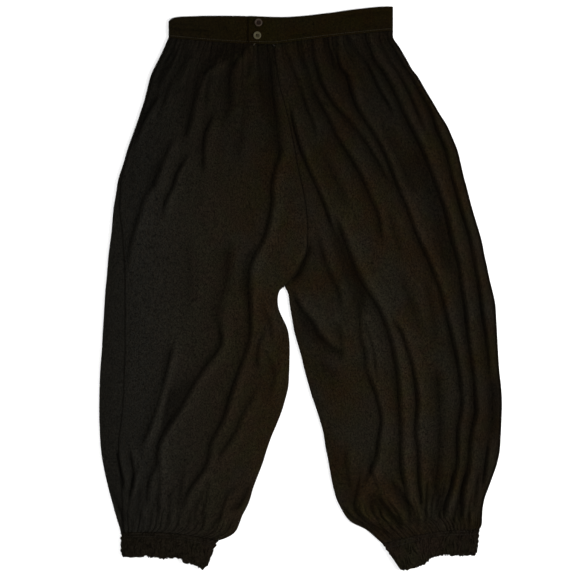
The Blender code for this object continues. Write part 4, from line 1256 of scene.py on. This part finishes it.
def lay_floor():
    shape = bmesh.new()
    bmesh.ops.create_grid(shape, x_segments=8, y_segments=8, size=4.0)
    bmesh.ops.translate(shape, verts=shape.verts, vec=(0.0, 0.0, -0.0002))
    floor = finished("floor", shape, False)
    floor.data.materials.append(floor_material())


def soft_light(name, place, target, size, power):
    lamp = bpy.data.lights.new(name, "AREA")
    lamp.shape = "DISK"
    lamp.size = size
    lamp.energy = power
    obj = bpy.data.objects.new(name, lamp)
    obj.location = place
    obj.rotation_mode = "QUATERNION"
    obj.rotation_quaternion = (Vector(target) - Vector(place)).to_track_quat("-Z", "Y")
    bpy.context.scene.collection.objects.link(obj)


def set_camera():
    data = bpy.data.cameras.new("camera")
    data.sensor_width = 36.0
    data.lens = data.sensor_width * CAMERA_HEIGHT / PHOTO_WIDTH
    camera = bpy.data.objects.new("camera", data)
    camera.location = placed((*PHOTO_MIDDLE, CAMERA_HEIGHT))
    bpy.context.scene.collection.objects.link(camera)
    bpy.context.scene.camera = camera


def light_studio():
    world = bpy.data.worlds.new("studio")
    world.use_nodes = True
    sky = world.node_tree.nodes["Background"]
    sky.inputs["Color"].default_value = (1.0, 1.0, 1.0, 1.0)
    sky.inputs["Strength"].default_value = 0.5
    bpy.context.scene.world = world
    for light in LIGHTS:
        soft_light(*light)
    bpy.context.scene.view_settings.view_transform = "Standard"


def make_materials():
    return {
        # Second colour of each gauze: the cool tone of its random patches and of the painted cool light on
        # the left
        "gauze": gauze_material(
            "black_gauze", (0.0094, 0.0053, 0.0021, 1.0), (0.0083, 0.0082, 0.0069, 1.0),
            (0.0136, 0.0102, 0.0062, 1.0), 230.0, 1.0,
        ),
        "band": gauze_material(
            "waistband_gauze", (0.0088, 0.0047, 0.0008, 1.0), (0.0068, 0.0056, 0.0028, 1.0),
            (0.0132, 0.0094, 0.0026, 1.0), 260.0, 0.5,
        ),
        "casing": gauze_material(
            "ruched_gauze", (0.0082, 0.0052, 0.0032, 1.0), (0.0056, 0.0044, 0.0026, 1.0),
            (0.0115, 0.0092, 0.0066, 1.0), 240.0, 0.8,
        ),
        "button_thread": thread_material("button_thread", (0.003, 0.0022, 0.0014, 1.0)),
        "thread": thread_material("dark_thread", (0.021, 0.017, 0.0115, 1.0)),
        "pale_thread": thread_material("worn_thread", (0.04, 0.033, 0.0215, 1.0)),
        # Third colour of each button: the painted shade in its dish
        "button_upper": button_material(
            "button_dull", (0.017, 0.012, 0.008, 1.0), (0.031, 0.0225, 0.016, 1.0),
            (0.0094, 0.0044, 0.0024, 1.0),
        ),
        "button_lower": button_material(
            "button_olive", (0.039, 0.034, 0.018, 1.0), (0.05, 0.044, 0.025, 1.0),
            (0.026, 0.021, 0.009, 1.0),
        ),
    }


def sew_legs(materials, legs):
    for side, leg in legs.items():
        piece = cloth("front_" + side + "_cloth", front_surface(leg), FRONT_GRID, GAUZE, PANEL_WEAVE)
        dress(piece, materials["gauze"])
        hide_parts("front_" + side)
        back, columns = back_surface(leg)
        piece = cloth("back_" + side + "_cloth", back, (columns, BACK_ROWS), GAUZE, PANEL_WEAVE)
        dress(piece, materials["gauze"])
        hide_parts("back_" + side)


def sew_waistband(materials, legs):
    surface, length = band_surface(list(legs.values()))
    piece = cloth("waistband_cloth", surface, BAND_GRID, BAND, (length, BAND_WEAVE_HEIGHT))
    dress(piece, materials["band"])
    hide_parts("waistband")
    path, _ = band_path()
    gone = np.linspace(0.0, 1.0, len(path))
    outside = path[:, 1] > BAND_FRONT_ABOVE
    edges = np.flatnonzero(np.diff(outside.astype(int)))
    runs = []
    for first, last in ((0, edges[0]), (edges[1] + 1, len(path) - 1)):
        u = np.linspace(gone[first] + 0.002, gone[last] - 0.002, 300)
        x = np.interp(u, gone, path[:, 0])
        low = waist_seam(list(legs.values()), x)
        high = np.interp(x, *rows_of(BAND_TOP).T)
        runs.append(surface_points(surface, u, STITCH_UP / (high - low), BAND / 2.0 + 0.05))
    sewn = sewn_along("waistband_stitches", runs, pitch=2.9, length=2.1, thickness=0.42)
    dress(sewn, materials["pale_thread"])


def sew_cuffs(materials, legs):
    for side, hem, seed in (("left", HEM_LEFT, 71), ("right", HEM_RIGHT, 83)):
        leg = legs[side]
        surface = cuff_surface(leg, hem, seed)
        piece = cloth("cuff_" + side + "_cloth", surface, CUFF_GRID, CASING, CUFF_WEAVE, joined=True)
        dress(piece, materials["casing"])
        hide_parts("cuff_" + side)
        u = np.linspace(0.012, 0.608, 400)
        runs = [
            surface_points(surface, u, np.full_like(u, down / CUFF_DEPTH), CASING / 2.0 + 0.02)
            for down in CUFF_STITCH_ROWS
        ]
        sewn = sewn_along("cuff_" + side + "_stitches", runs, pitch=2.3, length=1.7, thickness=0.4)
        dress(sewn, materials["thread"])


def sew_closure(materials):
    for name, centre in BUTTONS.items():
        piece = dress(button(name + "_turned", centre), materials[name])
        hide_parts(name)
        dress(button_thread(name + "_thread", centre), materials["button_thread"])
    for name, x, y, lean, sewn_in in BAR_TACKS:
        raised = TAB_LEVEL if x < UNDER_END_X else BAND_FRONT_LEVEL + 0.6
        dress(bar_tack(name, x, y, lean, raised + BAND / 2.0 - 0.1), materials[sewn_in])


def main():
    set_camera()
    light_studio()
    lay_floor()
    materials = make_materials()
    legs = {
        "left": Leg(LEFT_OUTER, LEFT_INNER, LEFT_SECTIONS, turned_columns=26, seed=11),
        "right": Leg(RIGHT_OUTER, RIGHT_INNER, RIGHT_SECTIONS, turned_columns=6, seed=51),
    }
    sew_legs(materials, legs)
    sew_waistband(materials, legs)
    sew_cuffs(materials, legs)
    sew_closure(materials)


main()
